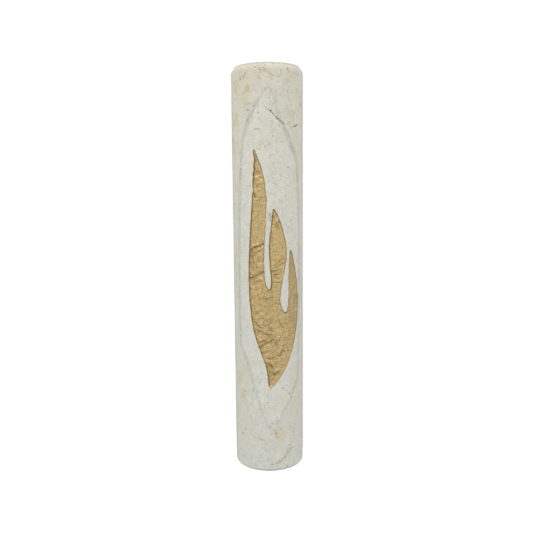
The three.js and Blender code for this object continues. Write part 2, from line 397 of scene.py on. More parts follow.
def gilt():
    f = Finish("gilt")
    leaning = f.node("Mapping", i0=f.where, i2=(0, LEAF_LEAN, 0), i3=(700, 1000, 1500))
    crinkle = f.noise(1.2, 5, 0.68, 0.9, leaning)
    fine = f.noise(2.9, 4, 0.75)
    wrinkled = f.value("wrinkled")
    f.start(f.step(crinkle, 0.38, 0.62), (0.5, 0.37, 0.163), (0.64, 0.47, 0.214))
    tint = f.step(f.noise(0.42, 4, 0.65, 0.6), 0.47, 0.6)
    f.lay((0.43, 0.375, 0.19), tint, 0.4)
    warm = f.step(f.noise(0.6, 4, 0.65, 0.6), 0.53, 0.66)
    f.lay((0.64, 0.42, 0.17), warm, 0.5)
    blush = f.step(f.noise(0.8, 4, 0.65, 0.6), 0.52, 0.66)
    f.lay((0.64, 0.5, 0.31), blush, 0.45)
    f.lay((0.29, 0.195, 0.07), f.step(fine, 0.5, 0.62, 0.0, 0.6))
    f.lay((0.85, 0.64, 0.335), f.step(fine, 0.38, 0.49, 0.52, 0.0))
    # short wrinkles, where a leaning noise crosses its middle: painted shade in a dark line and a
    # painted highlight on its lip
    across = f.sum("SUBTRACT", f.noise(0.95, 4, 0.6, 1.0, leaning), 0.5)
    painted_lip_highlight = f.step(f.sum("ABSOLUTE", f.sum("SUBTRACT", across, 0.03), 0.0), 0.006, 0.026, 1.0, 0.0)
    dark = f.step(f.sum("ABSOLUTE", across, 0.0), 0.004, 0.022, 1.0, 0.0)
    patchy = f.times(wrinkled, f.step(f.noise(0.5, 3), 0.46, 0.56))
    f.lay((0.9, 0.68, 0.34), f.times(painted_lip_highlight, patchy), 0.55)
    f.lay((0.24, 0.18, 0.065), f.times(dark, patchy), 0.6)
    # painted highlights on the leaf's ridges, on spots and inside its lit edges
    f.lay((0.83, 0.62, 0.31), f.value("painted_highlight"))
    f.lay((0.215, 0.195, 0.05), f.value("green"))
    streaks = f.step(f.noise(2.0, 4, 0.7, 0.8, leaning), 0.44, 0.56, 0.35, 1.0)
    f.lay((0.345, 0.165, 0.024), f.value("orange"), streaks)
    # painted shade along the leaf's edge and on its sides
    f.lay((0.215, 0.118, 0.02), f.value("edge"))
    # painted shade in the leaf's creases and pits
    f.lay((0.12, 0.08, 0.012), f.value("painted_crease_shade"))
    f.set(base_color=f.base, metallic=0.72, roughness=f.step(crinkle, 0.3, 0.7, 0.46, 0.3))
    f.bump((crinkle, 0.22), (fine, 0.07), (f.times(dark, patchy), -0.05))
    return f.material


def silicone():
    f = Finish("silicone")
    dust = f.noise(1.6, 4, 0.65)
    f.start(f.step(f.noise(0.35, 3), 0.35, 0.65), (0.6, 0.58, 0.525), (0.69, 0.67, 0.61))
    f.lay((0.46, 0.44, 0.385), f.step(dust, 0.52, 0.72, 0.0, 0.5))
    lint = f.step(f.cells(1.4, at=f.stretched((1, 1, 0.4))), 0.05, 0.12, 0.6, 0.0)
    f.lay((0.36, 0.34, 0.3), lint)
    f.set(base_color=f.base, roughness=f.step(dust, 0.3, 0.7, 0.46, 0.62), ior=1.42)
    f.set(subsurface_weight=0.12, subsurface_radius=(1.0, 0.9, 0.8), subsurface_scale=0.001)
    f.bump((dust, 0.02), (f.noise(7, 2), 0.006))
    return f.material


def clear_film():
    f = Finish("clear_film")
    haze = f.noise(0.5, 4, 0.6, 0.4)
    wrinkle = f.noise(0.5, 3, 0.5, 0.5, f.stretched((1, 1, 0.12)))
    f.start(f.step(haze, 0.4, 0.7), (0.93, 0.95, 0.955), (0.88, 0.905, 0.915))
    f.set(base_color=f.base, transmission_weight=0.92, ior=1.45)
    f.set(roughness=f.step(haze, 0.35, 0.7, 0.05, 0.16))
    f.bump((wrinkle, 0.1), (f.noise(3.0, 3), 0.008))
    return f.material


def parchment():
    f = Finish("parchment")
    fibre = f.noise(0.9, 5, 0.65, 1.0, f.stretched((1, 1, 2.4)))
    hair = f.noise(5.0, 4, 0.7, 0.6)
    f.start(f.step(fibre, 0.32, 0.7), (0.6, 0.49, 0.3), (0.76, 0.66, 0.45))
    follicle = f.step(f.cells(2.3), 0.07, 0.19, 0.45, 0.0)
    f.lay((0.4, 0.29, 0.15), follicle)
    f.lay((0.8, 0.72, 0.54), f.step(hair, 0.5, 0.75, 0.0, 0.3))
    f.set(base_color=f.base, roughness=f.step(fibre, 0.3, 0.7, 0.58, 0.76), sheen_weight=0.15)
    f.bump((fibre, 0.07), (hair, 0.02))
    return f.material


def foam():
    f = Finish("foam")
    skin = f.cells(3.4, "Distance", "DISTANCE_TO_EDGE")
    f.start(f.step(skin, 0.02, 0.2), (0.84, 0.84, 0.81), (0.68, 0.68, 0.65))
    f.lay((0.78, 0.765, 0.7), f.step(f.noise(0.6, 3), 0.4, 0.7, 0.0, 0.4))
    f.set(base_color=f.base, roughness=f.step(skin, 0.0, 0.25, 0.78, 0.92), sheen_weight=0.1)
    f.bump((f.step(skin, 0.0, 0.28, 1.0, 0.0), 0.08), (f.noise(9, 2), 0.01))
    return f.material


def liner_paper():
    f = Finish("liner_paper")
    fibre = f.noise(2.4, 5, 0.7, 1.2, f.stretched((1, 1, 0.45)))
    f.start(f.step(fibre, 0.3, 0.72), (0.6, 0.385, 0.175), (0.72, 0.49, 0.245))
    fleck = f.step(f.cells(0.9, at=f.stretched((1, 1, 0.5))), 0.03, 0.12, 0.5, 0.0)
    f.lay((0.4, 0.24, 0.1), fleck)
    f.set(base_color=f.base, roughness=f.step(fibre, 0.3, 0.7, 0.36, 0.52))
    f.set(coat_weight=0.25, coat_roughness=0.3)
    f.bump((fibre, 0.014), (f.noise(0.25, 2), 0.05))
    return f.material


# -------------------------------------------------------------------------- the stone's shape
def stone_inset(z):
    """How far the rounded front is drawn in at a height, by the chamfers and their worn edges."""
    total = np.zeros_like(z)
    softness = 0.03  # rounds the line where each chamfer starts
    for to_end, (height, inset), arris in (
        (TOP - z, TOP_CHAMFER, TOP_ARRIS),
        (z - BOTTOM, BOTTOM_CHAMFER, BOTTOM_ARRIS),
    ):
        ramp = (height - to_end) / height
        total += inset * (ramp + np.sqrt(ramp * ramp + softness)) / 2
        last = np.clip(1 - to_end / arris, 0, 1)
        total += arris * (1 - np.sqrt(1 - last * last))
    return total


def half_width(z):
    share = (z - BOTTOM) / (TOP - BOTTOM)
    return BOTTOM_HALF_WIDTH + (TOP_HALF_WIDTH - BOTTOM_HALF_WIDTH) * share


def on_front(arc, z, deep):
    """Points at a place on the rounded front, and so far below it."""
    angle = arc / ARC_RADIUS
    drawn_in = stone_inset(z) + deep
    x = (half_width(z) - drawn_in) * np.sin(angle)
    return np.column_stack([x, BACK - (DEPTH - drawn_in) * np.cos(angle), z])


def behind_front(x, z, deep):
    """Points at x and z, where a surface so far below the rounded front lies."""
    across = np.clip(x / (half_width(z) - deep), -1, 1)
    return np.column_stack([x, BACK - (DEPTH - deep) * np.sqrt(1 - across * across), z])


def arc_at(x, z):
    return ARC_RADIUS * np.arcsin(np.clip(x / half_width(z), -1, 1))


def to_arc(line):
    """A line of (x, z) points as (arc, z) points."""
    line = np.array(line, float)
    return np.column_stack([arc_at(line[:, 0], line[:, 1]), line[:, 1]])


# The emblem, in x and height above the stone's bottom: each row is one curve's two handles and end.
FLAME_TIP = (-4.25, 98.9)
FLAME_CURVES = [
    (-2.05, 95.2, -0.6, 89.5, -0.6, 82.5),  # right side of the tall flame
    (-0.65, 76, -1.42, 70, -1.4, 63.5),
    (-1.4, 59.5, -0.75, 56.6, 0.12, 56.4),  # first notch
    (0.75, 56.3, 0.9, 58.2, 0.75, 60.5),  # middle flame
    (0.5, 64, 0, 67.5, 0.3, 70.6),
    (0.7, 74.5, 1.2, 77.5, 1.65, 81.1),
    (3.4, 78.5, 5.2, 73.5, 5.45, 68),
    (5.6, 62.5, 3.5, 58, 3.5, 53.5),
    (3.5, 51, 4.3, 49.2, 5.15, 49.2),  # second notch
    (5.95, 49.3, 6.15, 51.5, 6.17, 55),  # short right flame
    (6.2, 60, 6.2, 64, 6.85, 68.4),
    (7.9, 64.5, 8.95, 59, 8.95, 52.5),
    (8.95, 44, 7.6, 32.5, 0.75, 26.2),  # right side of the base
    (0.5, 25.95, 0, 26.2, -0.2, 27),
    (-0.3, 31.5, -2.7, 36, -4.3, 42.4),  # left side of the base
    (-5.6, 47.5, -6, 54, -6, 61),
    (-6, 72, -4.4, 84, -4.25, 98.9),
]
# places where the carver's edge strays: x, z, radius, how far outwards
EDGE_SLIPS = [
    (-4.15, 33.0, 1.5, -0.28), (-4.15, 30.1, 0.55, -0.28), (-4.5, 23.9, 0.9, -0.3),
    (-2.6, -24.5, 2.2, -0.22), (-0.9, -29.3, 2.6, -0.3), (-0.45, 21.4, 0.8, 0.2),
    (-4.9, 8.9, 0.5, 0.15), (0.4, 10.2, 0.5, -0.12), (5.35, 3.0, 0.6, 0.14),
    (8.0, -12.4, 0.8, 0.12), (-3.4, -23.8, 0.5, 0.16), (3.2, -31.6, 0.6, -0.12),
]


FLAME_TIPS = [FLAME_TIP, (1.65, 81.1), (6.85, 68.4)]  # the three that end thin


def flame_outline(step=0.3):
    """The emblem's outline in x and z, clockwise from the tall tip, with a hand-cut waver."""
    points, start = [], np.array(FLAME_TIP)
    for row in FLAME_CURVES:
        a, b, end = np.array(row[:2]), np.array(row[2:4]), np.array(row[4:])
        length = np.hypot(*(a - start)) + np.hypot(*(b - a)) + np.hypot(*(end - b))
        count = max(3, round(float(length) / step))
        for t in np.arange(count) / count:
            u = 1 - t
            points.append(u**3 * start + 3 * u * u * t * a + 3 * u * t * t * b + t**3 * end)
        start = end
    points = np.array(points) + (0, BOTTOM)
    places = np.column_stack([points, np.zeros(len(points))])
    stray = 0.05 * wave(places, 0.45, 3) + 0.08 * wave(places, 1.4, 4)
    stray += 0.065 * wave(places, 3.2, 15)
    for x, z, radius, out in EDGE_SLIPS:
        apart = np.hypot(*(points - (x, z)).T)
        stray += out * np.exp(-((apart / radius) ** 2))
    from_tip = [np.hypot(*(points - (x, BOTTOM + height)).T) for x, height in FLAME_TIPS]
    shy = 0.05 + 0.09 * smooth(np.min(from_tip, axis=0), 0.8, 4.0)  # less so at the thin tips
    return grown(points, stray - shy)


def grown(outline, distance):
    """A clockwise outline moved outwards, by one distance or by one for each point."""
    ahead = np.roll(outline, -1, axis=0) - outline
    ahead /= np.hypot(*ahead.T)[:, None]
    left = np.column_stack([-ahead[:, 1], ahead[:, 0]])
    normal = left + np.roll(left, 1, axis=0)
    normal /= np.maximum(np.hypot(*normal.T), 0.9)[:, None]
    return outline + normal * np.reshape(distance, (-1, 1))


# Marks in the stone. Lines are in x and z; then width, depth and darkness.
CRACKS = [
    ([(-0.7, 49.2), (-0.1, 48.6), (0.7, 48.0)], 0.1, 0.1, 0.85),
    ([(0.5, 48.2), (0.9, 47.7), (1.9, 46.8)], 0.15, 0.16, 0.9),
    ([(1.7, 47.0), (2.7, 45.9)], 0.1, 0.1, 0.65),
    ([(2.6, 46.1), (3.4, 45.5), (3.9, 44.9), (4.4, 44.4)], 0.25, 0.14, 0.66),
    ([(4.3, 44.3), (4.8, 44.0), (5.2, 44.0)], 0.13, 0.1, 0.75),
    ([(6.5, 43.3), (7.2, 43.2), (7.9, 43.4)], 0.12, 0.06, 0.8),
    ([(7.8, 43.4), (8.5, 43.5), (9.1, 44.0)], 0.18, 0.12, 0.9),
    ([(-3.9, 42.5), (-3.2, 42.6), (-2.5, 42.4)], 0.15, 0.08, 0.75),
    ([(10.6, -2.6), (9.3, -3.7), (8.4, -4.5)], 0.13, 0.08, 0.45),
    ([(8.7, -23.7), (9.7, -24.5), (10.5, -25.7)], 0.13, 0.08, 0.4),
    ([(7.2, -56.0), (5.9, -57.4), (4.0, -58.9)], 0.2, 0.1, 0.34),
    ([(4.0, -58.9), (2.9, -59.6), (1.8, -60.2)], 0.18, 0.1, 0.38),
    ([(-1.4, -59.1), (-0.5, -58.9)], 0.14, 0.06, 0.6),
    ([(-1.8, -55.3), (-1.3, -55.9)], 0.16, 0.06, 0.7),
    ([(3.5, 21.1), (4.3, 20.6), (5.0, 19.9)], 0.1, 0.04, 0.5),
    ([(3.2, 20.4), (3.9, 20.0), (4.4, 19.4)], 0.09, 0.04, 0.35),
    ([(-5.1, 41.1), (-4.5, 40.6), (-4.1, 40.0)], 0.1, 0.04, 0.35),
    ([(4.6, 39.4), (5.0, 38.6)], 0.1, 0.04, 0.4),
    ([(2.5, 39.1), (2.7, 37.3), (2.7, 35.4)], 0.1, 0.03, 0.25),
    ([(1.4, 17.4), (0.9, 16.9), (0.2, 16.8)], 0.1, 0.04, 0.5),
    ([(1.3, 16.5), (0.8, 15.9), (0.1, 15.7)], 0.12, 0.04, 0.6),
    ([(0.9, 15.5), (0.7, 14.6), (0.2, 13.9)], 0.1, 0.04, 0.5),
    ([(0.3, 10.2), (0.9, 10.8), (1.3, 11.0)], 0.1, 0.04, 0.45),
]
# x and z of the line, then width and strength
RUST_LINES = [
    ([(-4.7, 61.5), (-3.2, 60.7), (-1.7, 60.1), (-0.3, 59.5), (0.7, 58.7), (1.4, 57.7)],
     0.14, 0.65),
    ([(-0.9, 60.6), (1.0, 59.2), (1.8, 58.3), (3.9, 58.1), (4.5, 58.8), (4.1, 59.8), (4.5, 60.5)],
     0.13, 0.6),
    ([(-5.6, 61.1), (-6.3, 59.4), (-7.3, 58.2), (-8.4, 57.4)], 0.15, 0.4),
    ([(6.2, 60.7), (6.5, 60.0), (6.9, 59.2)], 0.2, 0.7),
    ([(8.4, 59.8), (9.0, 59.4), (9.4, 59.0)], 0.16, 0.5),
    ([(7.4, -56.0), (5.9, -57.4), (4.0, -58.9), (1.8, -60.2)], 0.17, 0.32),
    ([(-10.1, 4.5), (-10.2, 1.0), (-10.1, -6.0)], 0.3, 0.3),
    ([(-9.6, -14.0), (-9.8, -19.0), (-9.5, -24.0)], 0.2, 0.22),
    ([(7.7, 48.1), (7.8, 46.6), (8.0, 44.8)], 0.11, 0.4),
    ([(0.8, 44.8), (2.3, 44.0), (3.7, 43.3)], 0.11, 0.4),
    ([(4.9, 44.1), (5.8, 43.9), (6.8, 44.2), (7.5, 44.6)], 0.1, 0.35),
    ([(-9.6, 48.9), (-9.1, 45.6), (-9.2, 41.6)], 0.14, 0.35),
    ([(-6.9, 50.4), (-5.2, 49.8), (-4.0, 50.4)], 0.13, 0.5),
    ([(-4.4, 55.9), (-3.6, 54.8), (-3.0, 53.5)], 0.11, 0.4),
    ([(-7.4, 53.3), (-6.6, 54.2), (-5.6, 54.3), (-5.2, 56.0)], 0.13, 0.45),
    ([(-5.8, -51.1), (-4.9, -52.0), (-3.6, -52.2)], 0.14, 0.4),
    ([(-3.2, -52.2), (-1.9, -52.6)], 0.18, 0.65),
    ([(6.9, -56.0), (6.2, -56.6), (5.4, -57.2)], 0.2, 0.55),
    ([(1.0, -51.8), (2.6, -51.6), (3.6, -52.8), (4.5, -53.3)], 0.11, 0.35),
    ([(2.8, -49.9), (3.9, -49.0), (4.6, -47.2)], 0.11, 0.35),
]
# x, z, radius and strength
OCHRE_CLOUDS = [
    (-8.0, 59.0, 3.0, 0.6), (-6.8, 50.8, 2.0, 0.5), (-8.2, -33.0, 3.4, 0.45),
    (-8.0, -38.5, 3.2, 0.5), (-9.5, 56.0, 3.0, 0.8), (-5.9, 54.5, 1.8, 0.8),
    (-8.2, 52.2, 2.6, 0.7), (-4.4, 58.8, 2.2, 0.6), (-2.4, 60.0, 1.6, 0.4),
    (-10.4, 46.0, 3.0, 0.7), (-10.4, 38.0, 3.4, 0.5), (-9.4, -35.0, 3.0, 0.6),
    (-8.6, -41.0, 2.4, 0.6), (-10.0, -45.0, 2.6, 0.5), (-10.6, 2.0, 2.0, 0.5),
    (-10.7, -8.0, 2.2, 0.45), (3.4, -51.0, 2.8, 0.6), (5.6, -45.6, 1.8, 0.45),
    (-1.5, -54.0, 2.4, 0.35), (1.4, 42.1, 1.8, 0.6), (7.6, 59.0, 1.6, 0.5),
    (7.2, 46.4, 1.8, 0.35),
]
# x, z, radius, darkness and how rusty
PITS = [
    (-8.2, 57.8, 0.26, 0.2, 0.9), (-7.2, 58.3, 0.22, 0.2, 0.8), (-6.6, 59.3, 0.2, 0.0, 0.7),
    (6.3, 60.5, 0.22, 0.3, 0.8), (1.4, 57.7, 0.16, 0.3, 0.5), (-1.3, 60.7, 0.22, 0.8, 0.0),
    (6.3, 54.0, 0.2, 0.75, 0.1), (6.9, 53.6, 0.16, 0.6, 0.1), (6.8, 51.6, 0.2, 0.75, 0.1),
    (-5.9, 48.3, 0.26, 0.35, 0.7), (-2.7, 47.2, 0.26, 0.7, 0.0), (-4.0, 49.4, 0.3, 0.6, 0.0),
    (-6.0, 45.3, 0.24, 0.2, 0.6), (-2.4, 57.5, 0.2, 0.1, 0.5), (1.0, 47.8, 0.42, 1.0, 0.0),
    (3.0, 45.5, 0.36, 0.95, 0.0), (4.6, 44.2, 0.24, 0.9, 0.0), (8.5, 43.6, 0.42, 1.0, 0.0),
    (9.2, 44.1, 0.3, 0.95, 0.0), (-1.2, 37.9, 0.2, 0.6, 0.1), (-0.8, 37.2, 0.18, 0.6, 0.1),
    (0.4, 37.8, 0.22, 0.5, 0.1), (4.3, 38.8, 0.16, 0.5, 0.1), (1.7, 40.3, 0.2, 0.6, 0.2),
    (0.9, 34.6, 0.22, 0.5, 0.2), (0.7, 33.8, 0.16, 0.5, 0.0), (-8.3, 30.6, 0.28, 0.85, 0.0),
    (6.3, 30.9, 0.18, 0.5, 0.4), (2.5, 25.8, 0.16, 0.3, 0.5), (5.4, 22.3, 0.2, 0.5, 0.2),
    (6.9, 14.9, 0.18, 0.5, 0.2), (6.2, 12.7, 0.2, 0.55, 0.2), (-2.3, 36.3, 0.16, 0.3, 0.4),
    (-4.7, 32.5, 0.16, 0.3, 0.4), (-7.2, 19.6, 0.18, 0.3, 0.3), (-7.9, -15.4, 0.22, 0.65, 0.0),
    (-8.3, -15.0, 0.16, 0.5, 0.0), (-8.8, -20.9, 0.4, 0.4, 0.0), (-5.0, -37.3, 0.22, 0.1, 0.6),
    (6.2, -38.7, 0.2, 0.3, 0.6), (6.9, -40.0, 0.22, 0.5, 0.1), (-7.4, -49.9, 0.2, 0.3, 0.6),
    (-8.5, -51.9, 0.24, 0.2, 0.8), (0.9, -47.5, 0.22, 0.1, 0.7), (0.2, -48.5, 0.22, 0.1, 0.7),
    (2.0, -50.6, 0.24, 0.4, 0.7), (-0.6, -46.6, 0.18, 0.4, 0.1), (0.6, -60.3, 0.32, 0.75, 0.1),
    (6.3, -55.0, 0.2, 0.3, 0.6), (5.8, -55.8, 0.2, 0.3, 0.6), (-8.2, -59.1, 0.18, 0.4, 0.3),
    (-4.4, -60.6, 0.22, 0.5, 0.1),
]
# x, z, radius and strength
GREY_BLOTS = [
    (-4.0, 49.3, 0.6, 0.9), (-4.9, 46.6, 1.2, 0.6), (-2.9, 47.4, 0.5, 0.6),
    (-5.6, 44.4, 0.9, 0.45), (-8.2, 35.0, 1.0, 0.45), (0.6, 16.6, 1.0, 0.9),
    (0.9, 14.9, 0.6, 0.6), (0.2, 9.0, 0.6, 0.4), (-8.8, -20.9, 0.8, 0.6), (-4.1, -39.6, 0.8, 0.4),
    (6.5, -38.9, 0.6, 0.5),
]
# x, z, radius and depth
RIGHT_CHIP = (10.4, 50.3, 0.7, 0.25)
# The grey vein draws a tall pointed almond on the front: its two arms, in x and z.
VEIN_ARMS = [
    [(0.3, 55.2), (-2.1, 52.3), (-4.0, 49.1), (-5.5, 46.2), (-6.6, 43.3), (-7.6, 39.4),
     (-8.1, 34.9), (-8.6, 25.8), (-8.9, 15.0), (-9.1, 2.6), (-9.1, -10.0), (-9.0, -19.4),
     (-8.7, -24.0), (-7.2, -27.7), (-5.9, -31.5), (-4.9, -35.7), (-3.5, -39.9), (-2.2, -44.5),
     (-0.8, -47.6), (0.5, -50.7)],
    [(0.3, 55.2), (2.1, 51.9), (2.9, 48.4), (4.1, 45.4), (5.6, 41.9), (7.2, 37.8), (8.7, 33.6),
     (9.2, 30.2), (9.5, 21.0), (9.6, 8.6), (9.5, -10.2), (9.2, -25.9), (8.9, -34.0), (8.0, -36.5),
     (6.7, -39.9), (5.4, -42.5), (3.7, -45.6), (1.9, -48.3), (0.5, -50.7)],
]


def from_spot(flat, x, z):
    """How far points of (arc, z) lie from a place given by its x and z."""
    return np.hypot(*(flat - to_arc([(x, z)])).T)


def stone_marks(flat, places):
    """(how far below the ideal front each point lies, its attributes) for points given both as
    (arc, z) and in space."""
    count = len(flat)
    strays = np.column_stack([wave(places, 1.1, 11, 3), wave(places, 1.1, 12, 3)])
    deep = 0.075 - 0.045 * wave(places, 0.11, 1) - 0.022 * wave(places, 0.4, 2, 2)
    marks = {key: np.zeros(count) for key in ("crack", "rust", "ochre", "vein", "grime_and_painted_shade")}
    broken = 0.35 + 0.65 * smooth(wave(places, 1.6, 13, 2), -0.25, 0.2)
    for line, width, depth, dark in CRACKS:
        away = np.abs(line_distance(flat + 0.14 * strays, to_arc(line)))
        near = smooth(away, width * 1.5, width * 0.4) * smooth(strays[:, 1], -0.75, 0.1)
        raise_to(marks, "crack", dark * near * broken)
        deep += depth * smooth(away, width * 1.8, 0) * broken
    for line, width, strength in RUST_LINES:
        away = np.abs(line_distance(flat + 0.3 * strays, to_arc(line)))
        near = smooth(away, width * 2, width * 0.3) * smooth(strays[:, 0], -0.8, 0.2)
        raise_to(marks, "rust", strength * near)
    for x, z, radius, strength in OCHRE_CLOUDS:
        away = from_spot(flat + 0.8 * strays, x, z)
        raise_to(marks, "ochre", strength * smooth(away, radius * 1.3, 0))
    for x, z, radius, dark, rusty in PITS:
        away = from_spot(flat + 0.12 * strays, x, z) / radius
        raise_to(marks, "crack", dark * smooth(away, 1.15, 0.35))
        raise_to(marks, "rust", rusty * smooth(away, 2.2, 0.6))
        deep += 0.35 * radius * smooth(away, 1.25, 0.1)
    x, z, radius, depth = RIGHT_CHIP
    away = from_spot(flat, x, z) / radius
    deep += depth * smooth(away, 1.0, 0.3)
    raise_to(marks, "rust", 0.7 * smooth(away, 1.4, 0.4))
    marks["field"] = np.ones(count)  # the paler stone between the vein's two arms
    for arm, inner in zip(VEIN_ARMS, (1, -1)):
        away = line_distance(flat + 0.3 * strays, curve_through(to_arc(arm), 1.0)) * inner
        uneven = 0.75 + 0.35 * wave(places, 0.25, 14, 2)
        half = 0.35 + 0.55 * smooth(flat[:, 1], 54, 42) * smooth(flat[:, 1], -52, -30)
        faint = 0.48 + 0.2 * smooth(flat[:, 1], -34, -26)
        band = smooth(np.abs(away), half * 1.25, half * 0.6) * faint * uneven
        hair = smooth(np.abs(away - half), 0.3, 0.05) * smooth(strays[:, 0], 0.0, 0.5) * 0.7
        raise_to(marks, "vein", np.maximum(band, hair))
        marks["field"] = np.minimum(marks["field"], smooth(away, -1.2, 0.6))
    for x, z, radius, strength in GREY_BLOTS:
        away = from_spot(flat + 0.5 * strays, x, z)
        raise_to(marks, "vein", strength * smooth(away, radius, radius * 0.2))
    # the ends' edges are knocked here and there, and the long back edges are worn by handling;
    # painted shade darkens the stone towards both long edges and along both ends
    to_end = np.minimum(TOP - flat[:, 1], flat[:, 1] - BOTTOM)
    knocks = smooth(wave(places, 0.55, 5, 2), 0.22, 0.6)
    deep += 0.22 * knocks * smooth(to_end, 0.8, 0.0)
    to_back = HALF_ARC - np.abs(flat[:, 0])
    # painted shade towards the long edges, where the front turns away, and along both ends; the wave
    # term is grime
    shade_and_grime = 0.65 * smooth(to_back + 0.8 * strays[:, 0], 5.0, 1.8)
    shade_and_grime += 0.15 * smooth(wave(places, 0.2, 8), 0.1, 0.7) + 0.9 * smooth(to_end, 0.5, 0.2)
    marks["grime_and_painted_shade"] = np.minimum(shade_and_grime, 1)
    deep += 0.12 * smooth(to_back, 0.9, 0) * smooth(wave(places, 0.5, 6, 3), 0.05, 0.6)
    return np.maximum(deep, 0), marks


COLUMNS, MIDDLE_ROWS = 111, 296
END_ZONE = 2.6  # the rows lie closer together so near an end


def stone_grid():
    """The columns' places round the front, and the rows' heights."""
    ends = np.array([0.0, 0.03, 0.08, 0.14, 0.2, 0.32, 0.5, 0.75, 1.0, 1.3, 1.6, 1.9, 2.2])
    middle = np.linspace(BOTTOM + END_ZONE, TOP - END_ZONE, MIDDLE_ROWS)
    rows = np.concatenate([BOTTOM + ends, middle, (TOP - ends)[::-1]])
    return np.linspace(-HALF_ARC, HALF_ARC, COLUMNS), rows


def points_beside_marks(rim):
    """Extra points of (arc, z) that sharpen the pocket's rim, the lines and the pits."""
    beside = [to_arc(grown(rim, 0.16))]
    for line, *_ in CRACKS + RUST_LINES:
        line = curve_through(to_arc(line), 0.16)
        for shift in (-0.3, -0.15, 0, 0.15, 0.3):
            beside.append(line + (shift * 0.5, shift))
    for x, z, radius, *_ in PITS:
        centre = to_arc([(x, z)])
        for ring, spokes in ((0.0, 1), (0.4, 6), (0.8, 10), (1.2, 12)):
            turn = 2 * math.pi * np.arange(spokes) / spokes
            beside.append(centre + radius * ring * np.column_stack([np.cos(turn), np.sin(turn)]))
    return np.concatenate(beside)


def front_face(skin, rim):
    """The rounded front, whose points are the skin's first. Returns their depths and marks, and
    the numbers of the points on the border and on the pocket's rim."""
    draw = random.Random(5)
    columns, rows = stone_grid()
    step = columns[1] - columns[0]
    to_border, to_kept, apart = 0.12, 0.19, 0.11  # the closest that points may lie
    rim_arc = to_arc(rim)
    border = [(a, BOTTOM) for a in columns] + [(HALF_ARC, z) for z in rows[1:-1]]
    border += [(a, TOP) for a in columns[::-1]] + [(-HALF_ARC, z) for z in rows[-2:0:-1]]
    beside = points_beside_marks(rim)
    beside = beside[~inside(beside, [rim_arc])]
    kept = []
    for p in clear_of(beside, np.array([*border, *rim_arc]), to_border):
        if all(abs(p[0] - q[0]) + abs(p[1] - q[1]) > apart for q in kept[-80:]):
            kept.append(p)
    loose = []
    for z in rows[1:-1]:
        calm = min(TOP - z, z - BOTTOM) < END_ZONE - 0.1
        shake = (0.05 if calm else 0.27) * step
        for a in columns[1:-1]:
            lift = 0 if calm else draw.uniform(-shake, shake)
            loose.append((a + draw.uniform(-shake, shake), z + lift))
    loose = np.array(loose)
    loose = loose[~inside(loose, [rim_arc])]
    loose = clear_of(loose, np.array([*rim_arc, *kept]), to_kept)
    flat = np.concatenate([border, rim_arc, kept, loose])
    ideal = on_front(flat[:, 0], flat[:, 1], np.zeros(len(flat)))
    deep, marks = stone_marks(flat, ideal)
    front = skin.add(on_front(flat[:, 0], flat[:, 1], deep))
    border_ids, rim_ids = front[: len(border)], front[len(border) : len(border) + len(rim)]
    skin.fill(flat, front, [border_ids, rim_ids])
    return deep, marks, border_ids, rim_ids


def pocket(skin, outline, rim_ids, deep, marks):
    """The carved pocket's wall and floor. Returns their marks."""
    rings, rim_deep = [rim_ids], deep[rim_ids]
    rim_marks = {key: list(value[rim_ids]) for key, value in marks.items()}
    extra = {key: [] for key in marks}
    # each ring's share of the rounded rim that is left, and its depth
    for share, depth in ((0.45, 0.03), (0.1, 0.12), (0.0, 0.3), (0.0, 0.65), (0.0, POCKET_DEPTH)):
        wall = grown(outline, POCKET_GAP + POCKET_ARRIS * share)
        rings.append(skin.add(behind_front(wall[:, 0], wall[:, 1], rim_deep * (1 - depth) + depth)))
        for key in extra:
            # painted shade on the pocket's wall; its rust is gilding that has run onto the wall
            wall_shade_and_stain = {"grime_and_painted_shade": 0.6 if depth > 0.1 else 0.3, "rust": min(3 * depth, 0.6)}.get(key)
            extra[key] += rim_marks[key] if wall_shade_and_stain is None else [wall_shade_and_stain] * len(wall)
    for ring_a, ring_b in zip(rings, rings[1:]):
        skin.strip(ring_a, ring_b)
    floor_edge = grown(outline, POCKET_GAP)
    dots = filling([floor_edge], 0.9, 2, 0.35)
    dot_ids = skin.add(behind_front(dots[:, 0], dots[:, 1], np.full(len(dots), POCKET_DEPTH)))
    ring = list(range(len(floor_edge)))
    skin.fill(np.concatenate([floor_edge, dots]), [*rings[-1], *dot_ids], [ring])
    for key in extra:
        # painted shade on the pocket's floor
        extra[key] += [0.9 if key == "grime_and_painted_shade" else 0.0] * len(dots)
    return extra


def sawn_back(skin, edge_ids):
    """The flat back, sawn, between the front's two long edges."""
    edge = np.array([(skin.points[i][0], skin.points[i][2]) for i in edge_ids])
    dots = filling([edge], 0.8, 3, 0.3, ((-11.3, BOTTOM), (11.3, TOP)))
    places = np.column_stack([dots[:, 0], np.full(len(dots), BACK), dots[:, 1]])
    saw_strokes, slant = 1.9, 0.05  # radians a millimetre, up the back and across it
    sawn = 0.02 + 0.012 * np.sin(saw_strokes * dots[:, 1] + slant * dots[:, 0])
    places[:, 1] -= np.clip(sawn + 0.008 * wave(places, 0.3, 7), 0, 0.05)
    loop = list(range(len(edge)))
    skin.fill(np.concatenate([edge, dots]), [*edge_ids, *skin.add(places)], [loop], flip=True)


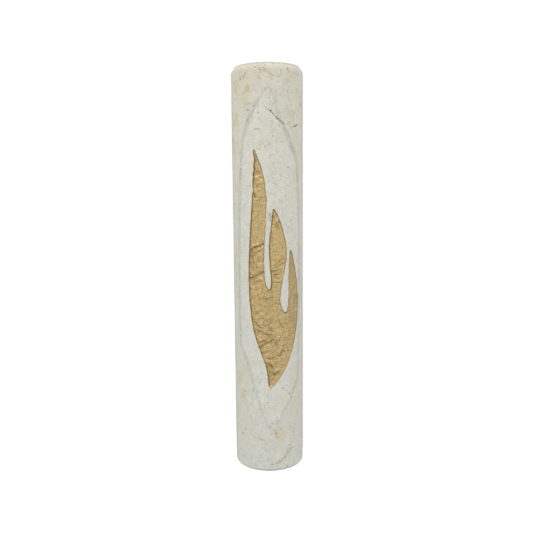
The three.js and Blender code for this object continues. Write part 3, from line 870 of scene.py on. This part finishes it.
def stone_end(skin, edge_ids, level, seat=None):
    """The top or the bottom. The bottom has a round hole, whose points are returned."""
    edge = np.array([skin.points[i][:2] for i in edge_ids])
    loops = [edge] if seat is None else [edge, seat[:, :2]]
    dots = filling(loops, 0.55, 4, 0.25, ((-11.5, STONE_LOW[1]), (11.5, BACK)))
    places = np.column_stack([dots, np.full(len(dots), level)])
    hollow = 0.03 + 0.025 * wave(places, 0.25, 9) + 0.012 * wave(places, 1.2, 10)
    places[:, 2] -= np.sign(level) * np.clip(hollow, 0, 0.08)
    new = skin.add(places)
    seat_ids = [] if seat is None else skin.add(seat)
    ends = np.cumsum([0, *(len(loop) for loop in loops)])
    rings = [list(range(a, b)) for a, b in zip(ends, ends[1:])]
    numbers = [*edge_ids, *seat_ids, *new]
    skin.fill(np.concatenate([*loops, dots]), numbers, rings, flip=level < 0)
    return seat_ids


def chamber(skin, mouth):
    """The stopper's seat and the drilled chamber, from the hole in the bottom upwards."""
    seat_depth, depth = SEAT_TOP - BOTTOM, CHAMBER_TOP - BOTTOM
    profile = [(SEAT_RADIUS + 0.03, 0.05), (SEAT_RADIUS, 0.15), (SEAT_RADIUS, 0.8)]
    profile += [(SEAT_RADIUS, 1.5), (SEAT_RADIUS - 0.1, seat_depth)]
    profile += [(BORE_RADIUS + 0.1, seat_depth), (BORE_RADIUS, seat_depth + 0.1)]
    profile += [(BORE_RADIUS, rise) for rise in np.arange(3.0, depth - 0.4, 1.2)]
    profile += [(BORE_RADIUS - 0.05, depth - 0.3), (BORE_RADIUS - 0.6, depth - 0.02)]
    profile += [(2.5, depth), (0.8, depth)]
    last = mouth
    for radius, rise in profile:
        ring = skin.add(circle(radius, BOTTOM + rise))
        skin.strip(ring, last)
        last = ring
    (tip,) = skin.add([(0, BORE_AXIS, CHAMBER_TOP)])
    skin.faces += [(a, tip, b) for a, b in zip(last, last[1:] + last[:1])]


def carved_stone():
    """The stone's skin, and the marks of each of its points."""
    skin = Skin()
    columns, rows = stone_grid()
    outline = flame_outline()
    rim = grown(outline, POCKET_GAP + POCKET_ARRIS)
    deep, marks, border, rim_ids = front_face(skin, rim)
    pocket_marks = pocket(skin, outline, rim_ids, deep, marks)
    before = len(skin.points)
    # the border runs along the bottom, up the right, back along the top and down the left
    corner, top = len(columns) - 1, len(columns) + len(rows) - 2
    left = [*border[top + corner :], border[0]]
    sawn_back(skin, [*border[corner : top + 1], *left])
    stone_end(skin, border[top : top + corner + 1], TOP)
    seat = circle(SEAT_RADIUS + 0.12, BOTTOM)
    chamber(skin, stone_end(skin, border[: corner + 1], BOTTOM, seat))
    added = len(skin.points) - before
    values = {}
    for key in marks:
        rest = 0.25 if key == "grime_and_painted_shade" else 0.0
        values[key] = np.concatenate([marks[key], pocket_marks[key], np.full(added, rest)])
    return skin, values


# --------------------------------------------------------------------------------- the gilding
# folds of the leaf: x and z of the line, the step's height, the crease's depth and the darkness of
# the painted shade in the crease
FOLDS = [
    ([(-5.2, 6.2), (-4.2, 6.9), (-3.1, 7.0), (-2.3, 7.4), (-1.3, 8.0)], 0.07, 0.08, 0.7),
    ([(-5.4, 4.6), (-4.5, 4.4), (-3.4, 5.2), (-2.4, 5.9)], 0.03, 0.03, 0.28),
    ([(-4.9, 3.9), (-4.4, 2.8), (-4.5, 1.6)], 0.04, 0.05, 0.45),
    ([(-3.6, 4.2), (-3.1, 3.0), (-2.1, 2.4)], -0.03, 0.03, 0.18),
    ([(-4.1, 1.6), (-3.2, 0.6), (-2.4, 0.4)], 0.03, 0.03, 0.18),
    ([(-6.0, -2.6), (-4.9, -2.5), (-3.5, -1.8), (-1.4, -0.6)], 0.06, 0.07, 0.6),
    ([(1.0, -0.6), (1.9, -0.5), (2.9, -0.2)], 0.04, 0.07, 0.55),
    ([(1.8, -1.6), (2.5, -1.5), (3.2, -1.5)], -0.03, 0.07, 0.65),
    ([(1.9, -2.6), (2.4, -2.7), (3.0, -2.6)], 0.03, 0.06, 0.4),
    ([(1.4, -3.7), (2.3, -3.9), (3.6, -4.0)], 0.04, 0.07, 0.55),
    ([(1.6, 1.2), (2.6, 1.9), (3.9, 3.0), (4.6, 3.4)], 0.05, 0.05, 0.3),
    ([(2.2, 0.6), (3.1, 1.2), (4.3, 1.9)], 0.04, 0.05, 0.35),
    ([(2.0, 13.9), (2.8, 14.1), (3.9, 14.9)], 0.05, 0.05, 0.5),
    ([(-2.9, -24.2), (-1.6, -23.3), (0.2, -22.4), (1.5, -21.4)], -0.08, 0.09, 0.6),
    ([(-3.2, -22.6), (-2.3, -22.2), (-1.4, -21.5)], 0.05, 0.07, 0.65),
    ([(-3.2, -18.6), (-2.0, -19.4), (-0.9, -19.9), (0.6, -20.0)], 0.07, 0.08, 0.45),
    ([(-4.0, -16.4), (-2.9, -17.4), (-2.3, -17.9)], 0.04, 0.06, 0.45),
    ([(1.9, -22.4), (2.8, -22.0), (3.5, -21.0)], 0.05, 0.06, 0.45),
    ([(-1.0, -27.2), (0.1, -27.5), (1.2, -27.4)], -0.06, 0.08, 0.6),
    ([(-0.4, -28.9), (0.4, -29.3), (1.0, -29.9)], 0.06, 0.08, 0.6),
    ([(0.1, -31.4), (1.1, -31.9), (1.9, -32.3)], -0.05, 0.07, 0.65),
    ([(2.2, -32.0), (2.7, -31.6), (3.1, -31.0)], 0.04, 0.06, 0.55),
    ([(3.3, -26.0), (3.9, -25.2), (4.9, -25.2)], 0.05, 0.06, 0.5),
    ([(-4.1, 31.2), (-3.8, 30.4), (-4.0, 29.8)], 0.04, 0.05, 0.45),
    ([(-3.2, 33.4), (-2.9, 32.7), (-2.4, 32.2)], 0.05, 0.05, 0.3),
    ([(-4.2, 22.9), (-3.7, 22.4), (-3.9, 21.9)], 0.04, 0.06, 0.55),
    ([(-4.6, 25.2), (-3.4, 26.4), (-2.3, 26.9)], -0.05, 0.04, 0.12),
    ([(-4.6, 20.4), (-3.6, 19.6), (-2.4, 19.3)], 0.03, 0.03, 0.1),
    ([(-3.9, -3.7), (-3.0, -3.8), (-2.2, -3.4)], 0.04, 0.05, 0.35),
    ([(-1.6, -8.7), (-0.2, -8.9), (0.9, -8.6)], 0.05, 0.05, 0.25),
    ([(3.0, -15.2), (3.3, -16.6), (4.2, -17.8)], 0.05, 0.05, 0.4),
    ([(-4.1, -12.9), (-2.9, -14.2), (-1.6, -15.0)], -0.05, 0.05, 0.3),
    ([(6.8, -7.4), (7.3, -6.2), (8.2, -5.0)], 0.04, 0.04, 0.25),
]
# x, z, radius and strength
GREEN_SPOTS = [
    (2.7, 13.2, 0.9, 0.5), (3.3, 12.6, 0.6, 0.4), (-3.7, 6.7, 0.6, 0.75), (-2.6, 7.1, 0.5, 0.7),
    (-4.9, 6.2, 0.5, 0.6), (-5.4, -2.6, 0.45, 0.6), (2.1, -22.9, 0.6, 0.7),
    (-0.8, -9.0, 1.0, 0.3), (-2.7, -10.6, 0.8, 0.35), (0.4, -18.4, 1.0, 0.3),
    (-1.0, -22.4, 0.9, 0.4),
]
ORANGE_SPOTS = [
    (-5.1, 5.4, 0.9, 1.0), (-4.0, 5.3, 0.8, 0.8), (-5.7, 3.9, 0.7, 0.9), (-5.5, 1.9, 0.9, 1.0),
    (-4.9, 0.9, 0.7, 0.8), (-5.8, -0.6, 0.6, 0.8), (-3.4, 2.6, 0.5, 0.5), (-5.8, -4.2, 0.5, 0.7),
    (1.2, 8.8, 0.6, 0.6), (-4.1, 22.1, 0.5, 0.7), (-4.7, 20.0, 0.35, 0.6),
    (-4.3, 30.4, 0.35, 0.6), (-4.0, 33.7, 0.5, 0.5), (-3.0, -19.0, 0.6, 0.5),
    (-5.8, -8.5, 0.4, 0.5), (8.4, -9.0, 1.2, 0.3), (7.0, -16.0, 1.4, 0.3),
]
# painted highlights on the leaf
HIGHLIGHT_SPOTS = [
    (0.5, -35.6, 0.6, 0.9), (1.4, -34.6, 0.5, 0.5), (-4.2, 24.6, 1.0, 0.6),
    (-3.9, 28.4, 0.7, 0.5), (-4.2, 21.2, 0.6, 0.6), (-2.2, 4.6, 0.6, 0.5), (-3.6, 3.8, 0.5, 0.5),
    (-2.8, 1.6, 1.2, 0.35), (2.2, 10.2, 0.9, 0.4), (-4.9, -6.5, 0.8, 0.4), (2.6, -2.0, 0.5, 0.4),
    (2.6, -3.0, 0.5, 0.4), (8.2, -5.0, 0.8, 0.3),
]
# where the leaf lies smooth: x, z, radius and how smooth
CALM_SPOTS = [
    (-3.2, 13.0, 5.5, 1.0), (-2.6, 17.0, 3.5, 1.0), (2.6, 6.6, 4.6, 1.0), (7.2, -3.0, 4.5, 1.0),
    (0.5, -9.5, 7.0, 0.55), (5.0, -16.0, 5.0, 0.45), (-3.4, 1.0, 2.6, 0.4),
    (-1.5, -18.0, 5.0, 0.25),
]
# x, z and radius
GILT_PITS = [
    (2.5, -31.9, 0.3), (0.3, -35.4, 0.3), (-2.2, -20.1, 0.3), (2.2, -23.2, 0.3),
    (-2.1, -6.9, 0.25), (0.7, -6.8, 0.25), (4.9, -13.4, 0.25), (-1.0, -11.2, 0.25),
]


def leaf_surface(flat, places):
    """(how far each point of the crumpled leaf stands out, its attributes, its side shifts)"""
    along = flat @ (math.cos(LEAF_LEAN), math.sin(LEAF_LEAN))
    over = flat @ (-math.sin(LEAF_LEAN), math.cos(LEAF_LEAN))
    leaning = np.column_stack([0.7 * along, 1.5 * over, 0 * over])
    strays = np.column_stack([wave(places, 0.9, 21, 2), wave(places, 0.9, 22, 2)])
    leaning[:, :2] += 0.5 * strays
    calm = np.zeros(len(flat))
    for x, z, radius, strength in CALM_SPOTS:
        away = np.hypot(*(flat + 0.8 * strays - (x, z)).T)
        calm = np.maximum(calm, strength * smooth(away, radius, radius * 0.6))
    ridges = 1 - 2 * np.abs(wave(leaning, 0.42, 23, 2))
    fine = 1 - 2 * np.abs(wave(leaning, 1.1, 24, 2))
    lift = (0.13 * ridges + 0.075 * fine) * (1 - 0.7 * calm)
    lift += 0.05 * wave(places, 0.16, 25) + 0.03 * wave(places, 2.2, 26)
    lift -= lift.mean()
    keys = ("painted_crease_shade", "edge", "green", "orange", "painted_highlight", "wrinkled")
    values = {key: np.zeros(len(flat)) for key in keys}
    for line, step, crease, dark in FOLDS:
        away = line_distance(flat + 0.22 * strays, line)
        near = np.exp(-((away / 0.9) ** 2))
        lift += step * np.tanh(away / 0.16) * near - crease * np.exp(-((away / 0.2) ** 2))
        # painted shade in the crease
        raise_to(values, "painted_crease_shade", dark * smooth(np.abs(away), 0.34, 0.06))
    for x, z, radius in GILT_PITS:
        away = np.hypot(*(flat - (x, z)).T)
        lift -= 0.12 * np.exp(-((away / radius) ** 2))
        # painted shade in the pit
        raise_to(values, "painted_crease_shade", 0.6 * smooth(away, radius * 1.2, 0))
    # the highlight spots are painted highlights; the green and orange ones are the leaf's own tints
    patches = (("green", GREEN_SPOTS), ("orange", ORANGE_SPOTS), ("painted_highlight", HIGHLIGHT_SPOTS))
    for key, spots in patches:
        for x, z, radius, strength in spots:
            away = np.hypot(*(flat + 0.4 * strays - (x, z)).T)
            raise_to(values, key, strength * smooth(away, radius, radius * 0.3))
    raise_to(values, "green", 0.35 * smooth(-lift, 0.08, 0.24) * smooth(flat[:, 1], -7.0, -15.0))
    # painted highlight on the ridges of the leaf
    raise_to(values, "painted_highlight", 0.6 * smooth(lift, 0.06, 0.16))
    values["wrinkled"] = 1 - 0.85 * calm
    return lift, values, strays


def edge_shade(flat, edge):
    """0 to 1, for painted shade: how far each point's nearest stretch of edge lies under a left or
    upper wall, and how far it is the short flame's open left side."""
    ahead = np.roll(edge, -2, axis=0) - np.roll(edge, 2, axis=0)
    ahead /= np.hypot(*ahead.T)[:, None]
    tree = kdtree.KDTree(len(edge))
    for i, (x, z) in enumerate(edge):
        tree.insert((x, z, 0), i)
    tree.balance()
    nearest = ahead[[tree.find((x, z, 0))[1] for x, z in flat]]
    shaded = smooth(0.85 * nearest[:, 1] + 0.5 * nearest[:, 0], -0.35, 0.75)
    open_side = smooth(nearest[:, 1], 0.2, 0.8) * smooth(flat[:, 0], 3.9, 4.3)
    return shaded, open_side * smooth(flat[:, 1], -14.5, -12.5)


def gilded_flames():
    """The leaf's skin, down to a flat back inside the pocket, and the values of its points."""
    skin = Skin()
    edge = grown(flame_outline(0.26), GILT_SPREAD)
    flat = np.concatenate([edge, filling([edge], 0.235, 6, 0.13)])
    lift, values, strays = leaf_surface(flat, np.column_stack([flat, np.zeros(len(flat))]))
    to_edge = np.abs(line_distance(flat, np.concatenate([edge, edge[:1]])))
    shaded, open_side = edge_shade(flat, edge)
    # painted shade along the leaf's edge, deepest under the left and upper walls and left off the
    # short flame's open left side
    near = smooth(to_edge + 0.15 * strays[:, 0], 0.36 + 0.14 * shaded, 0.1)
    values["edge"] = near * (0.45 + 0.5 * shaded) * (1 - 0.85 * open_side)
    # painted highlight: a lighter strip just inside the edges that are not under a wall
    strip = smooth(np.abs(to_edge - 0.5 + 0.15 * strays[:, 1]), 0.3, 0.05)
    raise_to(values, "painted_highlight", 0.3 * strip * (1 - shaded))
    lift *= smooth(to_edge, -0.3, 0.7)
    deep = np.clip(GILT_RECESS - lift, 0.12, 0.65) - GILT_CLIMB * smooth(to_edge, 0.3, 0)

    loop = list(range(len(edge)))
    face = skin.add(behind_front(flat[:, 0], flat[:, 1], deep))
    skin.fill(flat, face, [loop])
    rings, rim = [face[: len(edge)]], deep[: len(edge)]
    for level in (rim + 0.12, rim + 0.3, np.full(len(edge), GILT_BEHIND)):
        rings.append(skin.add(behind_front(edge[:, 0], edge[:, 1], level)))
        skin.strip(rings[-2], rings[-1])
    skin.fill(edge, rings[-1], [loop], flip=True)
    for key in values:
        # painted shade on the leaf's sides down in the pocket
        side = 0.8 if key == "edge" else 0.0
        values[key] = np.concatenate([values[key], np.full(3 * len(edge), side)])
    return skin, values


# --------------------------------------------------------------------------- turned and rolled
def stopper():
    """A ribbed plug under a flange, with a grip bar moulded across its dished face."""
    skin = Skin()
    low, high = cad_box("bottom_stopper")
    face, end = low[2], high[2]
    dish_radius, dish_depth = 4.2, 1.0
    bar_half_length, bar_half_width = 3.2, 0.8
    core, rib_height, rib_half_width = 4.48, 0.32, 0.55
    rings = []
    for radius in np.concatenate([np.linspace(0.12, 3.9, 32), [4.0, 4.1, 4.17, 4.22, 4.3, 4.4]]):
        x, y = radius * np.cos(TURN), radius * np.sin(TURN)
        hollow = dish_depth * smooth(radius, dish_radius + 0.08, dish_radius - 0.45)
        bar = smooth(np.abs(x), bar_half_length + 0.08, bar_half_length - 0.22)
        bar = bar * smooth(np.abs(y), bar_half_width + 0.1, bar_half_width - 0.2)
        rings.append(skin.add(circle(radius, face + 0.02 + hollow * (1 - bar))))
    profile = [(5.3, 0.02), (5.48, 0.06), (5.6, 0.15), (5.67, 0.28), (5.7, 0.45), (5.7, 0.8)]
    profile += [(5.7, 0.84), (5.7, 1.3), (5.66, 1.5), (5.55, 1.6), (4.75, 1.6), (4.55, 1.66)]
    for middle in (3.1, 4.6, 6.1):
        for share in np.linspace(-1, 1, 9):
            bulge = max(math.cos(share * math.pi / 2), 0) ** 1.5
            profile.append((core + rib_height * bulge, middle + share * rib_half_width))
    height = end - face
    profile += [(core, height - 1.1), (4.42, height - 0.9), (4.0, height - 0.2)]
    profile += [(3.85, height - 0.05), (3.7, height)]
    profile += [(radius, height - 0.01) for radius in (2.4, 1.0, 0.15)]
    for radius, rise in profile:
        rings.append(skin.add(circle(radius, face + rise)))
    for ring_a, ring_b in zip(rings, rings[1:]):
        skin.strip(ring_a, ring_b)
    skin.faces += [tuple(rings[0][::-1]), tuple(rings[-1])]
    return skin


def film_sleeve():
    """A thin tube of clear film, a little out of round, with one lapped seam and fused rims."""
    skin = Skin()
    low, high = cad_box("scroll_sleeve")
    length = high[2] - low[2]
    ends = np.array([0, 0.08, 0.25, 0.6])
    rows = np.concatenate([ends, np.linspace(1.5, length - 1.5, 64), length - ends[::-1]])
    seam = smooth(np.abs(TURN - 1.9), 0.2, 0.15)
    middle_out, middle_in = 4.265, 4.14
    widest, narrowest = 4.34, 4.105  # so that the film stays inside its CAD walls
    outer, inner = [], []
    for rise in rows:
        spots = circle(4.2, low[2] + rise)
        buckle = 0.035 * wave(spots, 0.09, 31) + 0.012 * wave(spots, 0.5, 32)
        rim = smooth(min(rise, length - rise), 0.7, 0.0)
        outer_radius = np.minimum(middle_out + buckle + 0.045 * seam + 0.03 * rim, widest)
        inner_radius = np.maximum(middle_in + buckle - 0.01 * rim, narrowest)
        if rise in (rows[0], rows[-1]):
            outer_radius, inner_radius = outer_radius - 0.03, inner_radius + 0.03
        outer.append(skin.add(circle(outer_radius, low[2] + rise)))
        inner.append(skin.add(circle(inner_radius, low[2] + rise)))
    for i in range(len(rows) - 1):
        skin.strip(outer[i], outer[i + 1])
        skin.strip(inner[i + 1], inner[i])
    skin.strip(inner[0], outer[0])
    skin.strip(outer[-1], inner[-1])
    return skin


def rolled_parchment():
    """One sheet wound from its inner edge outwards, its turns a little uneven at the ends."""
    skin = Skin()
    low, high = cad_box("parchment_scroll")
    turns, per_turn, thickness = 6, 56, 0.15
    inner_radius, outer_radius = 1.42, 3.83
    narrowest, widest = 1.401, 3.849  # so that the sheet stays inside its CAD solid
    steps = turns * per_turn
    t = np.arange(steps + 1) / steps
    angle = 2 * math.pi * turns * t - 1.2  # the sheet ends on the front
    middle = inner_radius + thickness / 2 + (outer_radius - inner_radius - thickness) * t
    rows = np.concatenate([[0, 0.03, 0.1], np.linspace(0.12, 0.88, 26), [0.9, 0.97, 1]])
    grid = {1: [], -1: []}
    for share in rows:
        spiral = np.column_stack([middle * np.cos(angle), middle * np.sin(angle), angle * 0.8])
        stray = 0.028 * wave(spiral + (0, 0, 40 * share), 0.35, 41)
        trim = 0.14 + 0.1 * wave(spiral, 0.3, 42) + 0.04 * wave(spiral, 1.6, 43)
        shift = 0.16 * wave(np.column_stack([angle * 0.2, angle * 0, angle * 0]), 0.5, 44)
        bottom, top = low[2] + trim + 0.2 + shift, high[2] - trim - 0.2 + shift
        z = np.clip(bottom + (top - bottom) * share, low[2] + 0.01, high[2] - 0.01)
        for side in grid:
            radius = np.clip(middle + side * thickness / 2 + stray, narrowest, widest)
            x, y = radius * np.cos(angle), radius * np.sin(angle) + BORE_AXIS
            grid[side].append(skin.add(np.column_stack([x, y, z])))
    outer, inner = grid[1], grid[-1]
    for i in range(len(rows) - 1):
        skin.strip(outer[i], outer[i + 1], closed=False)
        skin.strip(inner[i + 1], inner[i], closed=False)
        skin.faces.append((outer[i][0], outer[i + 1][0], inner[i + 1][0], inner[i][0]))
        skin.faces.append((outer[i + 1][-1], outer[i][-1], inner[i][-1], inner[i + 1][-1]))
    skin.strip(inner[0], outer[0], closed=False)
    skin.strip(outer[-1], inner[-1], closed=False)
    return skin


# ------------------------------------------------------------------------------ pads and liners
def rounded_rectangle(low, high, corner, step=0.45):
    """An anticlockwise outline in x and z."""
    points = []
    centres = [(high[0] - corner, low[1] + corner, -90), (high[0] - corner, high[1] - corner, 0)]
    centres += [(low[0] + corner, high[1] - corner, 90), (low[0] + corner, low[1] + corner, 180)]
    for x, z, first in centres:
        for turn in np.radians(first + np.linspace(0, 90, 9)):
            points.append((x + corner * math.cos(turn), z + corner * math.sin(turn)))
    filled = []
    for a, b in zip(points, points[1:] + points[:1]):
        a, b = np.array(a), np.array(b)
        count = max(1, round(float(np.hypot(*(b - a))) / step))
        filled += [a + (b - a) * k / count for k in range(count)]
    return np.array(filled)


def inwards(outline, distance):
    """An anticlockwise outline drawn in, by one distance or by one for each point."""
    return grown(outline[::-1], -np.atleast_1d(distance)[::-1])[::-1]


def slab(outline, layers, dent, step, seed):
    """A closed sheet in x and z, from its back (highest y) to its front, through layers of
    (y, how far its edge is drawn in). dent(points) moves the faces' y."""
    skin = Skin()
    rings = []
    for y, drawn in layers:
        ring = inwards(outline, drawn)
        points = np.column_stack([ring[:, 0], np.full(len(ring), y), ring[:, 1]])
        points[:, 1] += dent(points)
        rings.append(skin.add(points))
    for ring_a, ring_b in zip(rings, rings[1:]):
        skin.strip(ring_b, ring_a)
    for ids, (y, drawn), flip in ((rings[0], layers[0], True), (rings[-1], layers[-1], False)):
        ring = inwards(outline, drawn)
        dots = filling([ring], step, seed, step * 0.45)
        points = np.column_stack([dots[:, 0], np.full(len(dots), y), dots[:, 1]])
        points[:, 1] += dent(points)
        new = skin.add(points)
        skin.fill(np.concatenate([ring, dots]), [*ids, *new], [list(range(len(ring)))], flip)
    return skin


def foam_pad(node, seed):
    """A die-cut pad with rounded corners and a slightly uneven skin."""
    low, high = cad_box(node)
    middle, half = (low[1] + high[1]) / 2, (high[1] - low[1]) / 2
    outline = rounded_rectangle(low[[0, 2]] + 0.08, high[[0, 2]] - 0.08, 1.5, 0.3)
    spots = np.column_stack([outline, np.zeros(len(outline))])
    layers = []
    for share in (0.0, 0.04, 0.15, 0.35, 0.5, 0.65, 0.85, 0.96, 1.0):
        y = high[1] - 2 * half * share
        waist = 0.16 * math.sin(math.pi * share)  # a cut foam edge pulls in between its skins
        cells = 0.05 * wave(spots + (0, 0, 3 * share), 1.7, seed, 2)
        layers.append((y, waist + np.clip(cells, -0.06, 0.06) + (0.05 if share in (0, 1) else 0)))

    def dent(points):
        to_skin = (points[:, 1] - middle) / half
        dimples = np.clip(0.02 + 0.02 * wave(points, 0.8, seed + 1), 0, 0.05)
        return -np.sign(to_skin) * to_skin**4 * dimples

    return slab(outline, layers, dent, 0.55, seed)


LINER_TAB = 3  # how far the liner runs past its pad
LINER_LIFT = 0.62  # the most that the tab curls


def release_liner(node, tab_up, seed):
    """A paper liner whose tab, past the pad's end, curls a little away from the wall."""
    low, high = cad_box(node)
    outline = rounded_rectangle(low[[0, 2]] + 0.02, high[[0, 2]] - 0.02, 1.5, 0.4)
    pad_end = high[2] - LINER_TAB if tab_up else low[2] + LINER_TAB
    back, front = high[1], low[1]
    layers = [(back, 0.015), (back - 0.02, 0.0), (front + 0.02, 0.0), (front, 0.015)]

    def dent(points):
        past = (points[:, 2] - pad_end) * (1 if tab_up else -1)
        curl = -0.055 * np.clip(past, 0, None) ** 2 * (1 + 0.25 * wave(points, 0.2, seed))
        return np.maximum(curl, -LINER_LIFT)

    return slab(outline, layers, dent, 0.6, seed)


# ------------------------------------------------------------------------------ the nine pieces
stone, marks = carved_stone()
make_piece("carved_stone", stone, "case", "stone_body", limestone(), 50, marks)
leaf, marks = gilded_flames()
make_piece("gilded_flames", leaf, "case", "gilded_flame_inlay", gilt(), 60, marks)
for name, skin, body, node, slot, material in (
    ("silicone_stopper", stopper(), "stopper", "bottom_stopper", "silicone", silicone()),
    ("film_sleeve", film_sleeve(), "sleeve", "scroll_sleeve", "clear_film", clear_film()),
    ("rolled_parchment", rolled_parchment(), "scroll", "parchment_scroll", "parchment",
     parchment()),
):
    make_piece(name, skin, body, node, material, 50)
foam_finish, liner_finish = foam(), liner_paper()
for place, side in enumerate(("upper", "lower")):
    node = f"{side}_adhesive_pad"
    pad = foam_pad(node, 51 + place)
    make_piece(f"{side}_foam_pad", pad, "case", node, foam_finish)
    node, name, body = f"{side}_release_liner", f"{side}_liner_sheet", f"{side}_liner"
    liner = release_liner(node, side == "upper", 61 + place)
    make_piece(name, liner, body, node, liner_finish)


# --------------------------------------------------------------------------- floor and lights
FLOOR_Z = -300  # below the stopper at the end of its pull
FLOOR_HALF = 900
TENT_GLOW = (0.56, 1.3)  # straight below and straight above
TENT_BACK = 0.48  # share of that straight behind the case
TENT_FRONT = 0.62  # and straight before it, where the tent is open


def floor():
    mesh = bpy.data.meshes.new("floor")
    half = FLOOR_HALF * MM
    corners = [(-half, -half), (half, -half), (half, half), (-half, half)]
    mesh.from_pydata([(x, y, FLOOR_Z * MM) for x, y in corners], [], [(0, 1, 2, 3)])
    f = Finish("floor")
    f.set(base_color=(0.8, 0.8, 0.8), roughness=0.9)
    f.set(emission_color=(1, 1, 1), emission_strength=0.6)
    mesh.materials.append(f.material)
    made = bpy.data.objects.new("floor", mesh)
    bpy.context.scene.collection.objects.link(made)
    made.visible_diffuse = made.visible_glossy = False  # the tent lights the piece from below


def studio_world():
    """A soft white tent, brighter overhead. It looks plain white behind the object."""
    bpy.context.scene.world = bpy.data.worlds.new("tent")
    n = Nodes(bpy.context.scene.world)
    direction, white = n.node("TexCoord", (), "Generated"), (1, 1, 1)

    def level(axis, low, high, start, end):
        along = n.node("SeparateXYZ", (), axis, i0=direction)
        return n.node("MapRange", i0=along, i1=low, i2=high, i3=start, i4=end)

    open_front = n.times(level("Y", 0, 1, 1, TENT_BACK), level("Y", -1, -0.8, TENT_FRONT, 1))
    glow = n.times(level("Z", -1, 1, *TENT_GLOW), open_front)
    tent = n.node("Background", Color=white, Strength=glow)
    backdrop = n.node("Background", Color=white)
    # the clear film looks onto the white backdrop too
    rays = (n.node("LightPath", (), f"Is {kind} Ray") for kind in ("Camera", "Transmission"))
    chosen = n.node("MixShader", i0=n.sum("MAXIMUM", *rays), i1=tent, i2=backdrop)
    n.node("OutputWorld", i0=chosen)


def softbox(name, place, size, power):
    light = bpy.data.lights.new(name, "AREA")
    light.shape = "SQUARE"
    light.size = size * MM
    light.energy = power
    made = bpy.data.objects.new(name, light)
    made.location = Vector(place) * MM
    made.rotation_mode = "QUATERNION"
    made.rotation_quaternion = (-made.location).to_track_quat("-Z", "Y")
    bpy.context.scene.collection.objects.link(made)


floor()
studio_world()
softbox("key", (-260, -330, 360), 240, 0.45)
softbox("fill", (420, -300, 60), 300, 0.15)
bpy.context.scene.view_settings.view_transform = "Standard"
